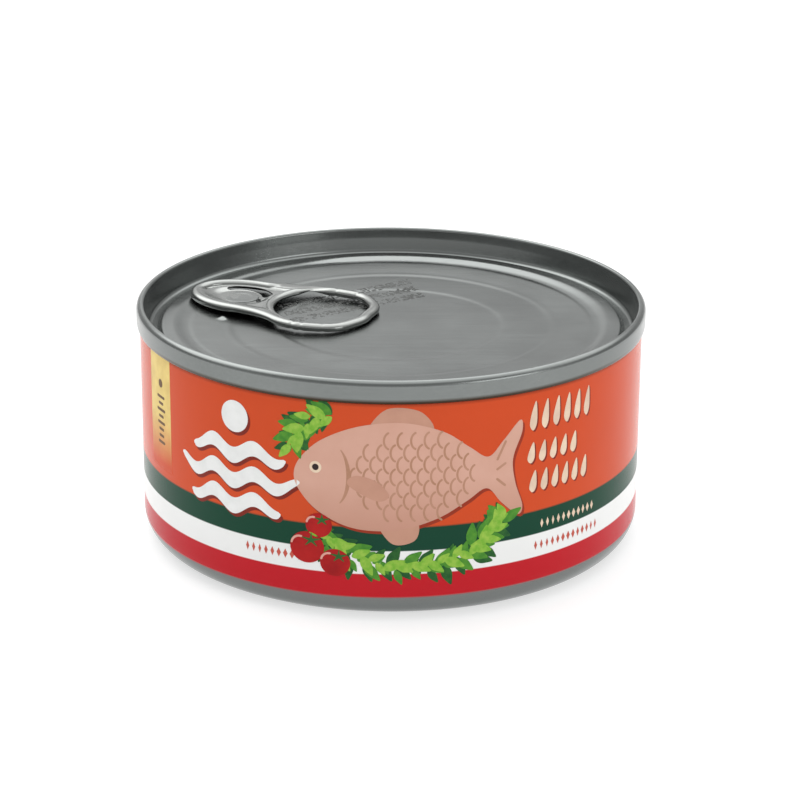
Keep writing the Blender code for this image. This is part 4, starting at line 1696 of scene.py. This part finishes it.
def make_camera(studio):
    """The photograph's view: turned to look a little right of and above the can's middle."""
    e = studio.elevation
    middle = Vector((0, 0, 20.0 * MM))
    place = middle + Vector((0, -cos(e), sin(e))) * studio.distance
    up = Vector((0, sin(e), cos(e)))
    aim = middle + Vector((1, 0, 0)) * studio.aim_right + up * studio.aim_up
    data = bpy.data.cameras.new("photo_view")
    data.lens = studio.lens
    data.sensor_width = 36.0
    data.clip_start, data.clip_end = 0.01, 20.0
    camera = bpy.data.objects.new("photo_view", data)
    bpy.context.scene.collection.objects.link(camera)
    camera.location = place
    camera.rotation_mode = "QUATERNION"
    look = (aim - place).to_track_quat("-Z", "Y")
    camera.rotation_quaternion = look @ Quaternion((0, 0, 1), studio.roll)
    bpy.context.scene.camera = camera


class FOODCAN_OT_stage(bpy.types.Operator):
    """Set up the pale floor, the soft studio light and the camera"""

    bl_idname = "food_can.stage"
    bl_label = "Stage"

    def execute(self, context):
        studio = context.scene.food_can.studio
        make_world(studio)
        make_floor()
        make_camera(studio)
        key = make_lamp("key_lamp", (-0.42, 0.30, 0.62), (0, 0, 0.03), (0.7, 0.5), studio.key)
        key.data.color = (1.0, 0.99, 0.97)
        make_lamp("side_lamp", (0.65, -0.54, 0.33), (0, 0, 0.03), (0.5, 0.3), studio.side)
        context.scene.view_settings.view_transform = "Standard"
        return {"FINISHED"}


PIECE_OPERATORS = (
    FOODCAN_OT_body,
    FOODCAN_OT_lid,
    FOODCAN_OT_pull_tab,
    FOODCAN_OT_rivet,
    FOODCAN_OT_lid_code,
    FOODCAN_OT_gold_panel,
    FOODCAN_OT_emblem,
    FOODCAN_OT_fish,
    FOODCAN_OT_garland,
    FOODCAN_OT_drops,
    FOODCAN_OT_stage,
)


class FOODCAN_PT_sidebar(bpy.types.Panel):
    bl_label = "Ring-pull can"
    bl_idname = "FOODCAN_PT_sidebar"
    bl_space_type = "VIEW_3D"
    bl_region_type = "UI"
    bl_category = "Food Can"

    def draw(self, context):
        layout = self.layout
        for operator in PIECE_OPERATORS:
            layout.operator(operator.bl_idname)
        settings = context.scene.food_can
        for group in (settings.can, settings.print, settings.tab, settings.studio):
            box = layout.box()
            for prop in group.bl_rna.properties:
                if prop.identifier not in ("rna_type", "name"):
                    box.prop(group, prop.identifier)


CLASSES = (CanSizes, PrintLook, TabSizes, StudioLook, CanSettings, *PIECE_OPERATORS, FOODCAN_PT_sidebar)


def register():
    for made in CLASSES:
        bpy.utils.register_class(made)
    bpy.types.Scene.food_can = PointerProperty(type=CanSettings)


def unregister():
    del bpy.types.Scene.food_can
    for made in reversed(CLASSES):
        bpy.utils.unregister_class(made)


def main():
    register()
    for operator in PIECE_OPERATORS:
        group, name = operator.bl_idname.split(".")
        getattr(getattr(bpy.ops, group), name)()


if __name__ == "__main__":
    main()
